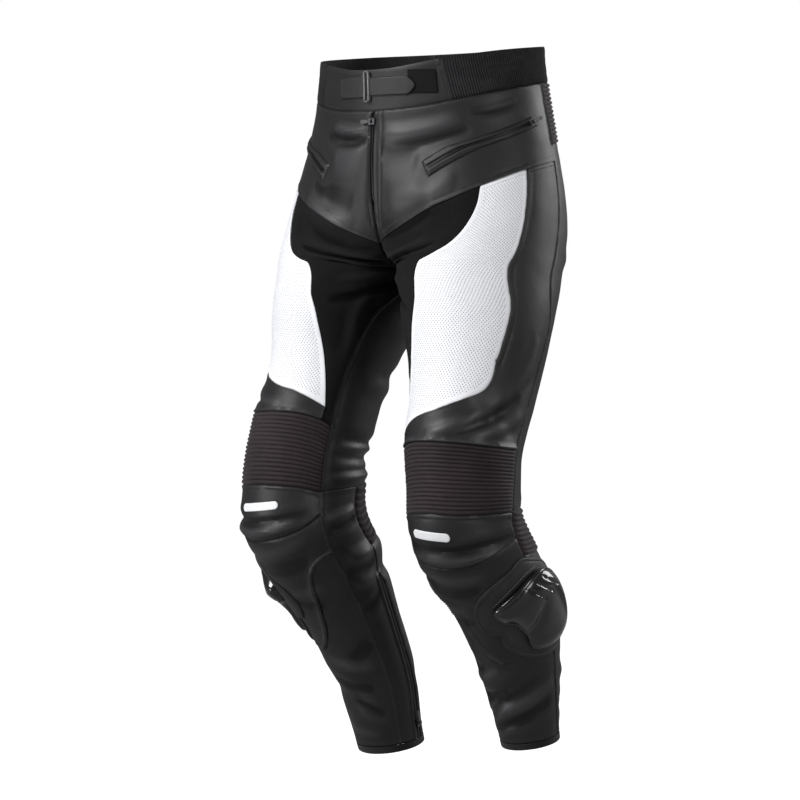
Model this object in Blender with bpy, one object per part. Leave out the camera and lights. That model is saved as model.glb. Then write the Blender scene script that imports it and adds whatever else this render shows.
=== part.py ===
"""Motorcycle trousers in leather and stretch cloth, filled out as if worn, with the waist and both hems open.

Metres, +Z up. The wearer faces -Y and the wearer's left is +X. The origin is the middle of the waist, where
the wearer holds the trousers up.

Every panel is cut from one pattern sheet per side. A place on the sheet is (u, drop): u runs from 0 at the
centre front round the outer side to 1 at the centre back, and below the crotch from the inseam round to the
inseam again; drop is the distance down the side of the leg. The function sheet() folds it round the body and
the leg.
"""

import math

import bmesh
import bpy
import numpy as np
from mathutils import Vector
from mathutils.geometry import delaunay_2d_cdt

# ---------------------------------------------------------------- driving sizes
HIP = 0.125  # drop where the centre lines begin to curve under towards the crotch
CROTCH = 0.285  # drop of the crotch point
HEM = 0.957  # drop of the lower edge of the hem band
HEM_BAND = 0.009  # height of the hem band
CUT_ROUND = 1.6  # how square the crotch curve is; 1 is an ellipse

LEATHER = 0.0015  # wall thicknesses
STRETCH = 0.0013
KNIT = 0.0020
BINDING = 0.0024
SEAM_GAP = 0.0003  # between neighbouring pieces
LAID_GAP = 0.0004  # between a piece and the panel that it lies on

CELL = 0.030  # spacing of the points inside a panel
SEAM_STEP = 0.024  # spacing of the points along a seam
PATCH_CELL = 0.014  # spacing under and in the pieces that lie on a panel
SHEET_WIDTH = 0.50  # width of the pattern sheet, for spacing points evenly in u

KNEE_RIBS = 17
KNEE_RIB_HEIGHT = 0.0016
BACK_RIBS = 9
BACK_RIB_HEIGHT = 0.0030
LUMBAR_RIBS = 14
LUMBAR_RIB_HEIGHT = 0.0020

ELASTIC_FROM = 0.205  # u of the seam between the leather and the elastic part of the waistband
BAND_ROWS = 3  # rows of points across the waistband and what lies on it
FRONT_COLUMNS = 25  # columns of points along each part of the waistband
ELASTIC_COLUMNS = 60
FRONT_BAND_WALL = 0.00225
HEM_STAND = 0.0006  # how far the hem band stands out over the leg

FLY_HALF = 0.0042  # u of each edge of the fly slit
FLY_TAPE_HALF = 0.0130  # u of each edge of the tape behind the slit
FLY_TOP = 0.080  # drop of the tape's two ends
FLY_BOTTOM = 0.157
FLY_COLUMNS = 5
FLY_ROWS = 8
FLY_SLIDER = 0.088  # drop of the slider
ZIP_FRONT = 0.893  # u of the calf zip's two edges
ZIP_BACK = 0.865
ZIP_TOP = 0.735
CALF_SLIDER_DROP = 0.928
POCKET_SLIDER = 0.94  # place of the slider along the pocket welt

SLIDER_LENGTH = 0.0110
SLIDER_WIDTH = 0.0085
SLIDER_HEIGHT = 0.0026
EAR_HEIGHT = 0.0036
EAR_THICK = 0.0012
EAR_LENGTH = 0.0036
EAR_SUNK = 0.0004  # how far the ears reach into the slider's body
TONGUE_LENGTH = 0.0060
TONGUE_WIDTH = 0.0024
HINGE_HEIGHT = SLIDER_HEIGHT + 0.0018
PULL_THICK = 0.0012
PULL_WIDTH = 0.0052
PULL_NECK = 0.0040  # where the pull begins to widen
PULL_SHOULDER = 0.0052
PULL_CORNER = 0.0015
POCKET_PULL = 0.016  # lengths of the pulls
CALF_PULL = 0.020
FLY_PULL = 0.017

STRAP_TOP = 0.0285  # drops of the strap's edges
STRAP_BOTTOM = 0.0530
STRAP_WALL = 0.0020
BASE_FROM = -0.112  # signed u of the stitched base, the tab and the hook pad
BASE_TO = -0.022
BASE_ABOVE = 0.003  # how much wider the base is than the strap
BASE_BELOW = 0.002
BASE_WALL = 0.0018
TAB_STRAP_FROM = -0.003
TAB_STRAP_TO = 0.128
TAB_POINT_FROM = 0.107
TAB_POINT_DEPTH = 0.010
HOOK_FROM = 0.108
HOOK_TO = 0.186
HOOK_TOP = 0.0200
HOOK_BOTTOM = 0.0520
HOOK_WALL = 0.0010
RING_PLACE = (0.0125, 0.0405)  # on the right side's sheet
RING_SIZE = (0.0440, 0.0100, 0.0050)  # along, across and out
RING_SLOT = (0.0360, 0.0040)

# ---------------------------------------------------------------- the filled-out form
# One row for each section across the body or the leg, looking down on it:
# drop: its place on the pattern; level: how far its centre lies below the waist; outer, inner: its reach from
# the middle plane; centre_y; front, back: its depth in front of and behind the centre; pitch: how far it tips
# up at the back, in degrees; twist: how far the inseam turns to the front, in degrees.
COLUMNS = ("drop", "level", "outer", "inner", "centre_y", "front", "back", "pitch", "twist")
PELVIS_ROWS = (
    (-0.040, -0.040, 0.169, 0.000, 0.000, 0.128, 0.125, 0, 0),
    (0.000, 0.000, 0.170, 0.000, 0.000, 0.129, 0.128, 0, 0),
    (0.060, 0.060, 0.180, 0.000, 0.000, 0.127, 0.132, 0, 0),
    (0.125, 0.125, 0.197, 0.000, -0.005, 0.124, 0.134, 0, 0),
    (0.200, 0.200, 0.209, 0.000, -0.016, 0.121, 0.137, 0, 0),
    (0.285, 0.285, 0.216, 0.000, -0.030, 0.118, 0.122, -4, 0),
)
LEG_ROWS = {
    "left": (
        (0.360, 0.368, 0.221, 0.022, -0.050, 0.106, 0.100, -10, 22),
        (0.430, 0.450, 0.215, 0.048, -0.072, 0.091, 0.090, -12, 29),
        (0.510, 0.541, 0.216, 0.063, -0.102, 0.083, 0.079, -10, 30),
        (0.600, 0.612, 0.215, 0.069, -0.102, 0.083, 0.075, 2, 30),
        (0.665, 0.668, 0.216, 0.065, -0.075, 0.084, 0.078, 14, 30),
        (0.720, 0.718, 0.208, 0.070, -0.032, 0.073, 0.075, 22, 30),
        (0.790, 0.783, 0.194, 0.069, 0.014, 0.062, 0.068, 22, 30),
        (0.870, 0.857, 0.177, 0.075, 0.043, 0.051, 0.055, 18, 30),
        (0.955, 0.935, 0.161, 0.081, 0.066, 0.041, 0.043, 12, 30),
        (0.990, 0.967, 0.160, 0.082, 0.075, 0.040, 0.042, 12, 30),
    ),
    "right": (
        (0.360, 0.355, 0.216, 0.020, -0.048, 0.106, 0.100, -10, 22),
        (0.430, 0.425, 0.211, 0.047, -0.064, 0.089, 0.088, -12, 29),
        (0.510, 0.505, 0.223, 0.059, -0.087, 0.088, 0.084, -10, 30),
        (0.600, 0.581, 0.227, 0.063, -0.101, 0.091, 0.083, 2, 30),
        (0.665, 0.638, 0.227, 0.060, -0.100, 0.092, 0.084, 14, 30),
        (0.720, 0.700, 0.215, 0.061, -0.061, 0.079, 0.080, 22, 30),
        (0.790, 0.775, 0.196, 0.066, -0.017, 0.062, 0.069, 22, 30),
        (0.870, 0.860, 0.180, 0.069, 0.026, 0.054, 0.060, 18, 30),
        (0.955, 0.955, 0.169, 0.077, 0.058, 0.047, 0.049, 12, 30),
        (0.990, 0.990, 0.168, 0.078, 0.073, 0.046, 0.048, 12, 30),
    ),
}

# The largest folds of the cloth, the same on both legs: each is a soft ridge from (u0, drop0) to (u1, drop1), or
# a trough where its height is negative, that fades out at both ends.
# Columns: u0, drop0, u1, drop1, half its width, its height.
FOLDS = (
    (0.08, 0.232, 0.26, 0.196, 0.014, -0.0035),
    (0.10, 0.282, 0.28, 0.250, 0.014, 0.0030),
    (0.10, 0.330, 0.02, 0.420, 0.014, -0.0030),
    (0.62, 0.300, 0.95, 0.330, 0.020, -0.0050),
    (0.60, 0.350, 0.94, 0.385, 0.018, 0.0040),
    (0.55, 0.540, 0.98, 0.560, 0.014, -0.0050),
    (0.50, 0.575, 0.98, 0.590, 0.012, 0.0040),
    (0.28, 0.440, 0.45, 0.485, 0.010, -0.0030),
    (0.04, 0.677, 0.36, 0.683, 0.009, -0.0035),
    (0.03, 0.696, 0.26, 0.706, 0.010, 0.0025),
    (0.55, 0.715, 0.98, 0.700, 0.011, 0.0040),
    (0.60, 0.740, 0.96, 0.728, 0.010, -0.0040),
    (0.05, 0.850, 0.30, 0.830, 0.014, 0.0035),
    (0.10, 0.885, 0.40, 0.862, 0.013, -0.0035),
    (0.02, 0.925, 0.24, 0.905, 0.011, 0.0030),
    (0.55, 0.860, 0.84, 0.880, 0.013, -0.0030),
)


def column(rows, name, drop):
    """One column of a table of sections, as a smooth curve through its rows."""
    table = np.array(rows, float)
    knots = table[:, 0]
    values = table[:, COLUMNS.index(name)]
    rates = np.diff(values) / np.diff(knots)
    slopes = np.gradient(values, knots)
    # A row next to a level run stays level there, so that nothing swings past zero.
    slopes[:-1][rates == 0] = 0
    slopes[1:][rates == 0] = 0
    drop = np.clip(drop, knots[0], knots[-1])
    i = np.clip(np.searchsorted(knots, drop) - 1, 0, len(knots) - 2)
    step = knots[i + 1] - knots[i]
    s = (drop - knots[i]) / step
    through = values[i] * (1 + 2 * s) * (1 - s) ** 2 + values[i + 1] * s * s * (3 - 2 * s)
    return through + step * (slopes[i] * s * (1 - s) ** 2 - slopes[i + 1] * s * s * (1 - s))


def form(side, u, drop):
    """Points of the smooth form, without its folds."""
    rows = PELVIS_ROWS + LEG_ROWS[side]
    inner = column(rows, "inner", drop)
    # Above the crotch the two halves are open towards each other, by this much of a quarter turn at each end.
    opening = np.clip((CROTCH - drop) / (CROTCH - HIP), 0, 1) * np.pi / 2
    radius = (column(rows, "outer", drop) - inner) / (1 + np.cos(opening))
    angle = np.pi + opening + 2 * (np.pi - opening) * u + np.radians(column(rows, "twist", drop))
    across = inner + radius * (np.cos(opening) + np.cos(angle))
    depth = np.where(np.sin(angle) < 0, column(rows, "front", drop), column(rows, "back", drop))
    along = depth * np.sin(angle)
    pitch = np.radians(column(rows, "pitch", drop))
    # The centre lines run down and under the body, while the sides stay level.
    under = (1 - np.cos(opening)) ** CUT_ROUND - opening / (np.pi / 2)
    sag = (CROTCH - HIP) * under * np.cos(np.pi * u) ** 2
    x = across if side == "left" else -across
    y = column(rows, "centre_y", drop) + along * np.cos(pitch)
    z = along * np.sin(pitch) - column(rows, "level", drop) + sag * (drop > HIP)
    return np.stack([x, y, z], axis=-1)


def fold_height(u, drop):
    """How far the folds raise the cloth at each place."""
    height = np.zeros_like(u)
    for u0, drop0, u1, drop1, half_width, peak in FOLDS:
        run = np.array([(u1 - u0) * SHEET_WIDTH, drop1 - drop0])
        length = np.hypot(*run)
        dx = (u - u0) * SHEET_WIDTH
        dy = drop - drop0
        along = (dx * run[0] + dy * run[1]) / length**2
        off = (dx * run[1] - dy * run[0]) / length
        fade = np.clip(4 * along * (1 - along), 0, 1)
        height = height + peak * fade * np.exp(-((off / half_width) ** 2))
    return height


def outward(side, u, drop):
    """Unit normals of the smooth form, pointing out of the leg."""
    du = 2e-3
    dd = 1e-3
    across = form(side, u + du, drop) - form(side, u - du, drop)
    down = form(side, u, drop + dd) - form(side, u, drop - dd)
    normals = np.cross(down, across) if side == "left" else np.cross(across, down)
    return normals / np.linalg.norm(normals, axis=1)[:, None]


def sheet(side, places):
    """(points, outward normals) of the cloth's outer face at places on the pattern."""
    places = np.asarray(places, float)
    u = places[:, 0]
    drop = places[:, 1]
    normals = outward(side, u, drop)
    edge = (u < 1e-6) | (u > 1 - 1e-6)
    fork = edge & (np.abs(drop - CROTCH) < 1e-6)
    # The two edges of the inseam share one normal, and those of a centre seam stay in the middle plane.
    # At the crotch point, where both meet, it points half down and half to the other leg.
    inseam = edge & (drop > CROTCH)
    normals[inseam] += outward(side, np.where(u < 0.5, 1.0, 0.0), drop)[inseam]
    normals[edge & (drop < CROTCH + 1e-6), 0] = 0.0
    normals[fork] = (-1.0 if side == "left" else 1.0, 0.0, -1.0)
    normals /= np.linalg.norm(normals, axis=1)[:, None]
    raised = fold_height(u, drop) * (drop > HIP) * ~edge
    return form(side, u, drop) + normals * raised[:, None], normals


# ---------------------------------------------------------------- seams of the pattern sheet
WAIST_SEAM_POINTS = (
    (0, 0.074), (0.13, 0.070), (0.25, 0.059), (0.37, 0.048), (0.56, 0.036), (0.80, 0.030), (1, 0.028),
)
HEM_SEAM = HEM - HEM_BAND - SEAM_GAP
ZIP_MIDDLE = (ZIP_FRONT + ZIP_BACK) / 2
# drops of the junctions down the inseam
INSEAM_STOPS = {
    "thigh": (CROTCH, 0.515),
    "knee": (0.515, 0.608),
    "cup": (0.608, 0.640),
    "upper": (0.640, 0.686),
    "lower": (0.686, HEM_SEAM),
}

# name: (points from one junction to the next). The curve through them is the seam.
SEAMS = {
    "waist_yoke": WAIST_SEAM_POINTS[:5],
    "fly": ((0, 0.074), (FLY_HALF, 0.084), (FLY_HALF, 0.120), (FLY_HALF, 0.152), (0, 0.163)),
    "front_tip": ((0, 0.163), (0, 0.195)),
    "crotch_front": ((0, 0.195), (0, CROTCH)),
    "crotch_back": ((1, 0.118), (1, 0.200), (1, CROTCH)),
    "yoke_low_inner": ((0, 0.195), (0.05, 0.186), (0.154, 0.173), (0.228, 0.168), (0.303, 0.163)),
    "yoke_low_middle": ((0.303, 0.163), (0.37, 0.158), (0.432, 0.153)),
    "yoke_low_outer": ((0.432, 0.153), (0.50, 0.147), (0.560, 0.141)),
    "side_rib": ((0.560, 0.036), (0.562, 0.118)),
    "side_small": ((0.562, 0.118), (0.560, 0.141)),
    "seat_top": ((0.562, 0.118), (0.78, 0.112), (1, 0.118)),
    "outseam_thigh": (
        (0.560, 0.141), (0.562, 0.190), (0.545, 0.260), (0.510, 0.330), (0.470, 0.410), (0.450, 0.497),
    ),
    "outseam_knee": ((0.450, 0.497), (0.436, 0.599)),
    "outseam_cup": ((0.436, 0.599), (0.425, 0.640)),
    "outseam_back_knee": ((0.425, 0.640), (0.425, 0.668)),
    "outseam_upper": ((0.425, 0.668), (0.426, 0.740), (0.432, 0.817)),
    "outseam_lower": ((0.432, 0.817), (0.445, 0.880), (0.470, HEM_SEAM)),
    "inset_inner": (
        (0.303, 0.163), (0.305, 0.190), (0.285, 0.228), (0.253, 0.268), (0.218, 0.303), (0.178, 0.334),
        (0.138, 0.360), (0.104, 0.392), (0.070, 0.428), (0.045, 0.460), (0.028, 0.490),
    ),
    "inset_outer": (
        (0.432, 0.153), (0.440, 0.205), (0.432, 0.265), (0.400, 0.322), (0.362, 0.365), (0.336, 0.405),
    ),
    "inset_bottom": (
        (0.336, 0.405), (0.330, 0.423), (0.316, 0.437), (0.290, 0.446), (0.244, 0.456), (0.188, 0.466),
        (0.126, 0.473), (0.075, 0.481), (0.028, 0.490),
    ),
    "inset_stub": ((0.028, 0.490), (0.030, 0.508)),
    "knee_top_inner": ((0, 0.515), (0.030, 0.508)),
    "knee_top": ((0.030, 0.508), (0.100, 0.503), (0.250, 0.502), (0.364, 0.500), (0.450, 0.497)),
    "knee_bottom": ((0, 0.608), (0.06, 0.600), (0.16, 0.597), (0.26, 0.599), (0.35, 0.599), (0.436, 0.599)),
    "cup_low": (
        (0, 0.640), (0.06, 0.655), (0.144, 0.664), (0.216, 0.666), (0.270, 0.663), (0.33, 0.656), (0.425, 0.640),
    ),
    "shin_curve": (
        (0, 0.686), (0.050, 0.693), (0.084, 0.707), (0.101, 0.727), (0.120, 0.755), (0.140, 0.778), (0.168, 0.796),
        (0.205, 0.808),
    ),
    "shin_low": ((0.205, 0.808), (0.270, 0.808), (0.350, 0.815), (0.432, 0.817)),
    "back_knee_top": ((0.436, 0.599), (0.60, 0.596), (0.75, 0.600), (0.885, 0.606)),
    "back_knee_seam": ((0.885, 0.606), (1, 0.608)),
    "back_knee_low": ((0.425, 0.668), (0.60, 0.684), (0.75, 0.694), (0.872, 0.698)),
    "back_knee_side": ((0.885, 0.606), (0.888, 0.650), (0.872, 0.698)),
    "calf_join": ((0.872, 0.698), (ZIP_MIDDLE, ZIP_TOP)),
    "zip_front": (
        (ZIP_MIDDLE, ZIP_TOP), (ZIP_FRONT - 0.002, ZIP_TOP + 0.010), (ZIP_FRONT, 0.850),
        (ZIP_FRONT + 0.006, HEM_SEAM),
    ),
    "zip_back": (
        (ZIP_MIDDLE, ZIP_TOP), (ZIP_BACK + 0.002, ZIP_TOP + 0.010), (ZIP_BACK, 0.850),
        (ZIP_BACK - 0.006, HEM_SEAM),
    ),
    "hem_shin": ((0, HEM_SEAM), (0.470, HEM_SEAM)),
    "hem_calf": ((0.470, HEM_SEAM), (ZIP_BACK - 0.006, HEM_SEAM)),
    "hem_zip": ((ZIP_BACK - 0.006, HEM_SEAM), (ZIP_FRONT + 0.006, HEM_SEAM)),
    "hem_inner": ((ZIP_FRONT + 0.006, HEM_SEAM), (1, HEM_SEAM)),
}
for stop_name, (stop_from, stop_to) in INSEAM_STOPS.items():
    SEAMS["inseam_front_" + stop_name] = ((0, stop_from), (0, stop_to))
    SEAMS["inseam_back_" + stop_name] = ((1, stop_from), (1, stop_to))

# A seam beside a ribbed panel has one step for each rib, and the seams across the ribs match in number.
SEAM_COUNTS = {
    "inseam_front_knee": KNEE_RIBS,
    "inseam_back_knee": KNEE_RIBS,
    "outseam_knee": KNEE_RIBS,
    "knee_top_inner": 1,
    "knee_top": 9,
    "knee_bottom": 10,
    "seat_top": 8,
    "side_rib": LUMBAR_RIBS,
    "back_knee_top": 9,
    "back_knee_low": 9,
    "back_knee_side": BACK_RIBS,
    "hem_zip": 1,
}
BACK_CUP_RIBS = 4  # ribs of the back-of-knee panel that lie beside the knee cup
SEAM_COUNTS["outseam_cup"] = BACK_CUP_RIBS
SEAM_COUNTS["outseam_back_knee"] = BACK_RIBS - BACK_CUP_RIBS

# A panel's outline, as seams in order; "-" walks a seam backwards.
PANELS = {
    "yoke": ("waist_yoke", "side_rib", "side_small", "-yoke_low_outer", "-yoke_low_middle", "-yoke_low_inner",
             "-front_tip", "-fly"),
    "inner_thigh": ("yoke_low_inner", "inset_inner", "inset_stub", "-knee_top_inner", "-inseam_front_thigh",
                    "-crotch_front"),
    "thigh_inset": ("yoke_low_middle", "inset_outer", "inset_bottom", "-inset_inner"),
    "outer_thigh": ("yoke_low_outer", "outseam_thigh", "-knee_top", "-inset_stub", "-inset_bottom", "-inset_outer"),
    "seat": ("seat_top", "crotch_back", "inseam_back_thigh", "inseam_back_knee", "-back_knee_seam",
             "-back_knee_top", "-outseam_knee", "-outseam_thigh", "-side_small"),
    "knee_cup": ("knee_bottom", "outseam_cup", "-cup_low", "-inseam_front_cup"),
    "shin_upper": ("cup_low", "outseam_back_knee", "outseam_upper", "-shin_low", "-shin_curve",
                   "-inseam_front_upper"),
    "shin_lower": ("shin_curve", "shin_low", "outseam_lower", "-hem_shin", "-inseam_front_lower"),
    "calf_outer": ("back_knee_low", "calf_join", "zip_back", "-hem_calf", "-outseam_lower", "-outseam_upper"),
    "calf_inner": ("back_knee_seam", "inseam_back_cup", "inseam_back_upper", "inseam_back_lower", "-hem_inner",
                   "-zip_front", "-calf_join", "-back_knee_side"),
    "calf_zip": ("zip_front", "-hem_zip", "-zip_back"),
}
PANEL_WALL = {"inner_thigh": STRETCH, "calf_zip": STRETCH}

# ---------------------------------------------------------------- pieces that lie on a panel
POCKET_FROM = (0.150, 0.139)
POCKET_TO = (0.478, 0.089)
POCKET_HALF = 0.0065  # half the width of the welt
POCKET_RISE = 0.0030
TAB_FROM = (0.110, 0.622)
TAB_TO = (0.235, 0.627)
TAB_HALF = 0.0050
TAB_RISE = 0.0018
LANDING_RISE = 0.0020
LANDING_OUTLINE = (
    (0.455, 0.677), (0.405, 0.670), (0.352, 0.681), (0.285, 0.693), (0.228, 0.707), (0.196, 0.724), (0.186, 0.745),
    (0.208, 0.762), (0.246, 0.764), (0.243, 0.780), (0.276, 0.797), (0.330, 0.809), (0.400, 0.816), (0.470, 0.811),
    (0.530, 0.790), (0.560, 0.755), (0.556, 0.718), (0.515, 0.692),
)
LANDING_STEP = 0.011  # spacing of the points round the two outlines
PUCK_STEP = 0.010
PUCK_EDGE = 0.0065  # height of the puck's rim over the landing panel
PUCK_CROWN = 0.0105  # how far its crown rises beyond that
PUCK_SLOPE = 0.022  # how far in from the rim it is level
PUCK_INSET = 0.0010
PUCK_OUTLINE = (
    (0.262, 0.722), (0.325, 0.708), (0.392, 0.696), (0.448, 0.693), (0.490, 0.704), (0.520, 0.730), (0.522, 0.762),
    (0.488, 0.786), (0.432, 0.797), (0.372, 0.798), (0.330, 0.790), (0.322, 0.768), (0.300, 0.748), (0.270, 0.740),
)


def curve_through(points, closed=False, steps=24):
    """Dense points on the smooth curve through the given ones."""
    points = np.array(points, float)
    if len(points) == 2 and not closed:
        s = np.linspace(0, 1, 2 * steps)[:, None]
        return points[0] * (1 - s) + points[1] * s
    if closed:
        padded = np.vstack([points[-1], points, points[:2]])
    else:
        padded = np.vstack([2 * points[0] - points[1], points, 2 * points[-1] - points[-2]])
    dense = []
    for a, b, c, d in zip(padded, padded[1:], padded[2:], padded[3:], strict=False):
        for s in np.arange(steps) / steps:
            dense.append(
                0.5 * (2 * b + (c - a) * s + (2 * a - 5 * b + 4 * c - d) * s**2 + (3 * b - a - 3 * c + d) * s**3)
            )
    if not closed:
        dense.append(points[-1])
    return np.array(dense)


def spaced(side, dense, step=SEAM_STEP, count=None, closed=False):
    """The dense pattern points thinned to even steps over the cloth."""
    if closed:
        dense = np.vstack([dense, dense[:1]])
    solid, _ = sheet(side, dense)
    lengths = np.concatenate([[0], np.cumsum(np.linalg.norm(np.diff(solid, axis=0), axis=1))])
    count = count or max(1, round(lengths[-1] / step))
    stops = np.linspace(0, lengths[-1], count + 1)
    places = np.stack([np.interp(stops, lengths, dense[:, i]) for i in range(2)], axis=1)
    return places[:-1] if closed else places


def seam_places(side):
    """Every seam of one side, as places on its pattern sheet. Both edges of the inseam get the same stops."""
    found = {}
    for name, points in SEAMS.items():
        found[name] = spaced(side, curve_through(points), count=SEAM_COUNTS.get(name))
    for name in INSEAM_STOPS:
        drops = found["inseam_front_" + name][:, 1]
        found["inseam_back_" + name] = np.stack([np.ones_like(drops), drops], axis=1)
    return found


def outline(seams, walk):
    """The closed outline of a panel, without repeating the junctions."""
    places = []
    for name in walk:
        run = seams[name[1:]][::-1] if name.startswith("-") else seams[name]
        places.extend(run[:-1])
    return np.array(places)


def strip_outline(start, end, half, ends=3):
    """A straight strip with round ends, as places on the pattern sheet."""
    a = np.array([start[0] * SHEET_WIDTH, start[1]])
    b = np.array([end[0] * SHEET_WIDTH, end[1]])
    length = np.hypot(*(b - a))
    ahead = (b - a) / length
    aside = np.array([-ahead[1], ahead[0]])
    middle = max(2, round((length - 2 * half) / (1.4 * PATCH_CELL)))
    stations = np.linspace(half, length - half, middle + 1)
    points = [a + ahead * s + aside * half for s in stations]
    for turn in np.linspace(math.pi / 2, -math.pi / 2, ends + 2)[1:-1]:
        points.append(b - ahead * half + half * (ahead * math.cos(turn) + aside * math.sin(turn)))
    points += [a + ahead * s - aside * half for s in stations[::-1]]
    for turn in np.linspace(-math.pi / 2, -3 * math.pi / 2, ends + 2)[1:-1]:
        points.append(a + ahead * half + half * (ahead * math.cos(turn) + aside * math.sin(turn)))
    return np.array([(x / SHEET_WIDTH, y) for x, y in points])


def patch_outlines(side):
    return {
        "pocket_welt": strip_outline(POCKET_FROM, POCKET_TO, POCKET_HALF),
        "knee_tab": strip_outline(TAB_FROM, TAB_TO, TAB_HALF),
        "slider_landing": spaced(side, curve_through(LANDING_OUTLINE, closed=True), LANDING_STEP, closed=True),
        "slider_puck": spaced(side, curve_through(PUCK_OUTLINE, closed=True), PUCK_STEP, closed=True),
    }


def flat(places):
    """Pattern places as lengths on the flat sheet."""
    return np.asarray(places) * (SHEET_WIDTH, 1.0)


def inside(points, loop):
    """Which flat points lie in a flat closed outline."""
    x, y = points[:, 0], points[:, 1]
    within = np.zeros(len(points), bool)
    for (x0, y0), (x1, y1) in zip(loop, np.roll(loop, -1, axis=0), strict=True):
        crosses = (y0 > y) != (y1 > y)
        with np.errstate(divide="ignore", invalid="ignore"):
            at = x0 + (y - y0) * (x1 - x0) / (y1 - y0)
        within ^= crosses & (x < at)
    return within


def distance_to(points, loop, closed=True):
    """How far flat points lie from a flat line."""
    nearest = np.full(len(points), np.inf)
    ends = np.roll(loop, -1, axis=0) if closed else loop[1:]
    for a, b in zip(loop, ends, strict=False):
        run = b - a
        s = np.clip(((points - a) @ run) / max(run @ run, 1e-12), 0, 1)
        nearest = np.minimum(nearest, np.linalg.norm(points - a - s[:, None] * run, axis=1))
    return nearest


def hexagonal_points(low, high, step):
    """Points on a triangular grid between two corners of the flat sheet."""
    found = []
    for row, y in enumerate(np.arange(low[1], high[1], step * 0.866)):
        start = low[0] + (row % 2) * step / 2
        found += [(x, y) for x in np.arange(start, high[0], step)]
    return np.array(found)


def triangulate(side, seams):
    """One pattern sheet cut into triangles: its places, its triangles, and the flat middle of each triangle."""
    loops = {name: flat(outline(seams, walk)) for name, walk in PANELS.items()}
    patches = {name: flat(points) for name, points in patch_outlines(side).items()}
    lines = list(loops.values()) + list(patches.values())
    coarse = hexagonal_points((0, 0), (SHEET_WIDTH, HEM), CELL)
    coarse = coarse[np.any([inside(coarse, loop) for loop in loops.values()], axis=0)]
    for line in loops.values():
        coarse = coarse[distance_to(coarse, line) > 0.5 * CELL]
    for line in patches.values():
        coarse = coarse[(distance_to(coarse, line) > 0.45 * CELL) & ~inside(coarse, line)]
    fine = hexagonal_points((0, 0), (SHEET_WIDTH, HEM), PATCH_CELL)
    fine = fine[np.any([inside(fine, line) for line in patches.values()], axis=0)]
    for line in lines:
        fine = fine[distance_to(fine, line) > 0.5 * PATCH_CELL]
    corners = []
    edges = []
    known = {}
    for line in lines:
        ring = []
        for point in line:
            key = (round(point[0], 7), round(point[1], 7))
            if key not in known:
                known[key] = len(corners)
                corners.append(Vector(point))
            ring.append(known[key])
        edges += [(a, b) for a, b in zip(ring, ring[1:] + ring[:1], strict=True)]
    edges = sorted({(min(a, b), max(a, b)) for a, b in edges})
    corners += [Vector(point) for point in np.vstack([coarse, fine])]
    points, _, triangles, _, _, _ = delaunay_2d_cdt(corners, edges, [], 0, 1e-7)
    points = np.array([tuple(p) for p in points])
    triangles = np.array([tuple(t) for t in triangles])
    middles = points[triangles].mean(axis=1)
    return points / (SHEET_WIDTH, 1.0), triangles, middles


# ---------------------------------------------------------------- making closed walls
def boundary_of(triangles):
    """The outline of a patch of triangles, as vertex numbers in walking order."""
    ahead = {}
    edges = {(a, b) for t in triangles for a, b in ((t[0], t[1]), (t[1], t[2]), (t[2], t[0]))}
    for a, b in edges:
        if (b, a) not in edges:
            ahead[a] = b
    start = min(ahead)
    loop = [start]
    while ahead[loop[-1]] != start:
        loop.append(ahead[loop[-1]])
    return loop


def turn_of(points, normals, triangles):
    """1 where the triangles turn anticlockwise seen from outside, -1 where they turn clockwise."""
    a, b, c = (points[i] for i in triangles[0])
    return 1.0 if np.cross(b - a, c - a) @ normals[triangles[0][0]] > 0 else -1.0


def drawn_in(points, normals, triangles, loop, amount):
    """The points with their outline moved inwards along the cloth, so that a gap is left at the seam."""
    moved = points.copy()
    ring = points[loop]
    before = ring - np.roll(ring, 1, axis=0)
    after = np.roll(ring, -1, axis=0) - ring
    before /= np.linalg.norm(before, axis=1)[:, None]
    after /= np.linalg.norm(after, axis=1)[:, None]
    up = normals[loop] * turn_of(points, normals, triangles)
    inward = np.cross(up, before) + np.cross(up, after)
    inward /= np.linalg.norm(inward, axis=1)[:, None]
    cosine = np.clip((inward * np.cross(up, after)).sum(axis=1), 0.35, 1)
    moved[loop] += inward * (amount / cosine)[:, None]
    return moved


def strip_between(first, second, at_first, at_second):
    """Triangles between two chains of vertices, each with its own even or uneven stations."""
    triangles = []
    i = j = 0
    while i < len(first) - 1 or j < len(second) - 1:
        step_first = j == len(second) - 1 or (i < len(first) - 1 and at_first[i + 1] <= at_second[j + 1])
        if step_first:
            triangles.append((first[i], first[i + 1], second[j]))
            i += 1
        else:
            triangles.append((first[i], second[j + 1], second[j]))
            j += 1
    return triangles


def closed_wall(outer, inner, triangles, loop):
    """A wall with the same triangles on both faces and a rim round its outline: (points, triangles)."""
    n = len(outer)
    faces = [tuple(t) for t in triangles]
    faces += [(c + n, b + n, a + n) for a, b, c in triangles]
    for a, b in zip(loop, loop[1:] + loop[:1], strict=True):
        faces.append((b, a, a + n))
        faces.append((b, a + n, b + n))
    return np.vstack([outer, inner]), faces


def compact(points, normals, places, triangles):
    """Only the points that the triangles use."""
    used = np.unique(triangles)
    number = np.full(len(points), -1)
    number[used] = np.arange(len(used))
    return points[used], normals[used], places[used], number[triangles]


def material(name, colour, roughness, metallic=0.0):
    """A Principled material, made once."""
    found = bpy.data.materials.get(name)
    if found:
        return found
    made = bpy.data.materials.new(name)
    made.use_nodes = True
    shader = made.node_tree.nodes["Principled BSDF"]
    shader.inputs["Base Color"].default_value = (*colour, 1)
    shader.inputs["Roughness"].default_value = roughness
    shader.inputs["Metallic"].default_value = metallic
    return made


def black_leather():
    return material("black leather", (0.020, 0.020, 0.022), 0.42)


def white_leather():
    return material("white leather", (0.86, 0.87, 0.90), 0.50)


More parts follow.
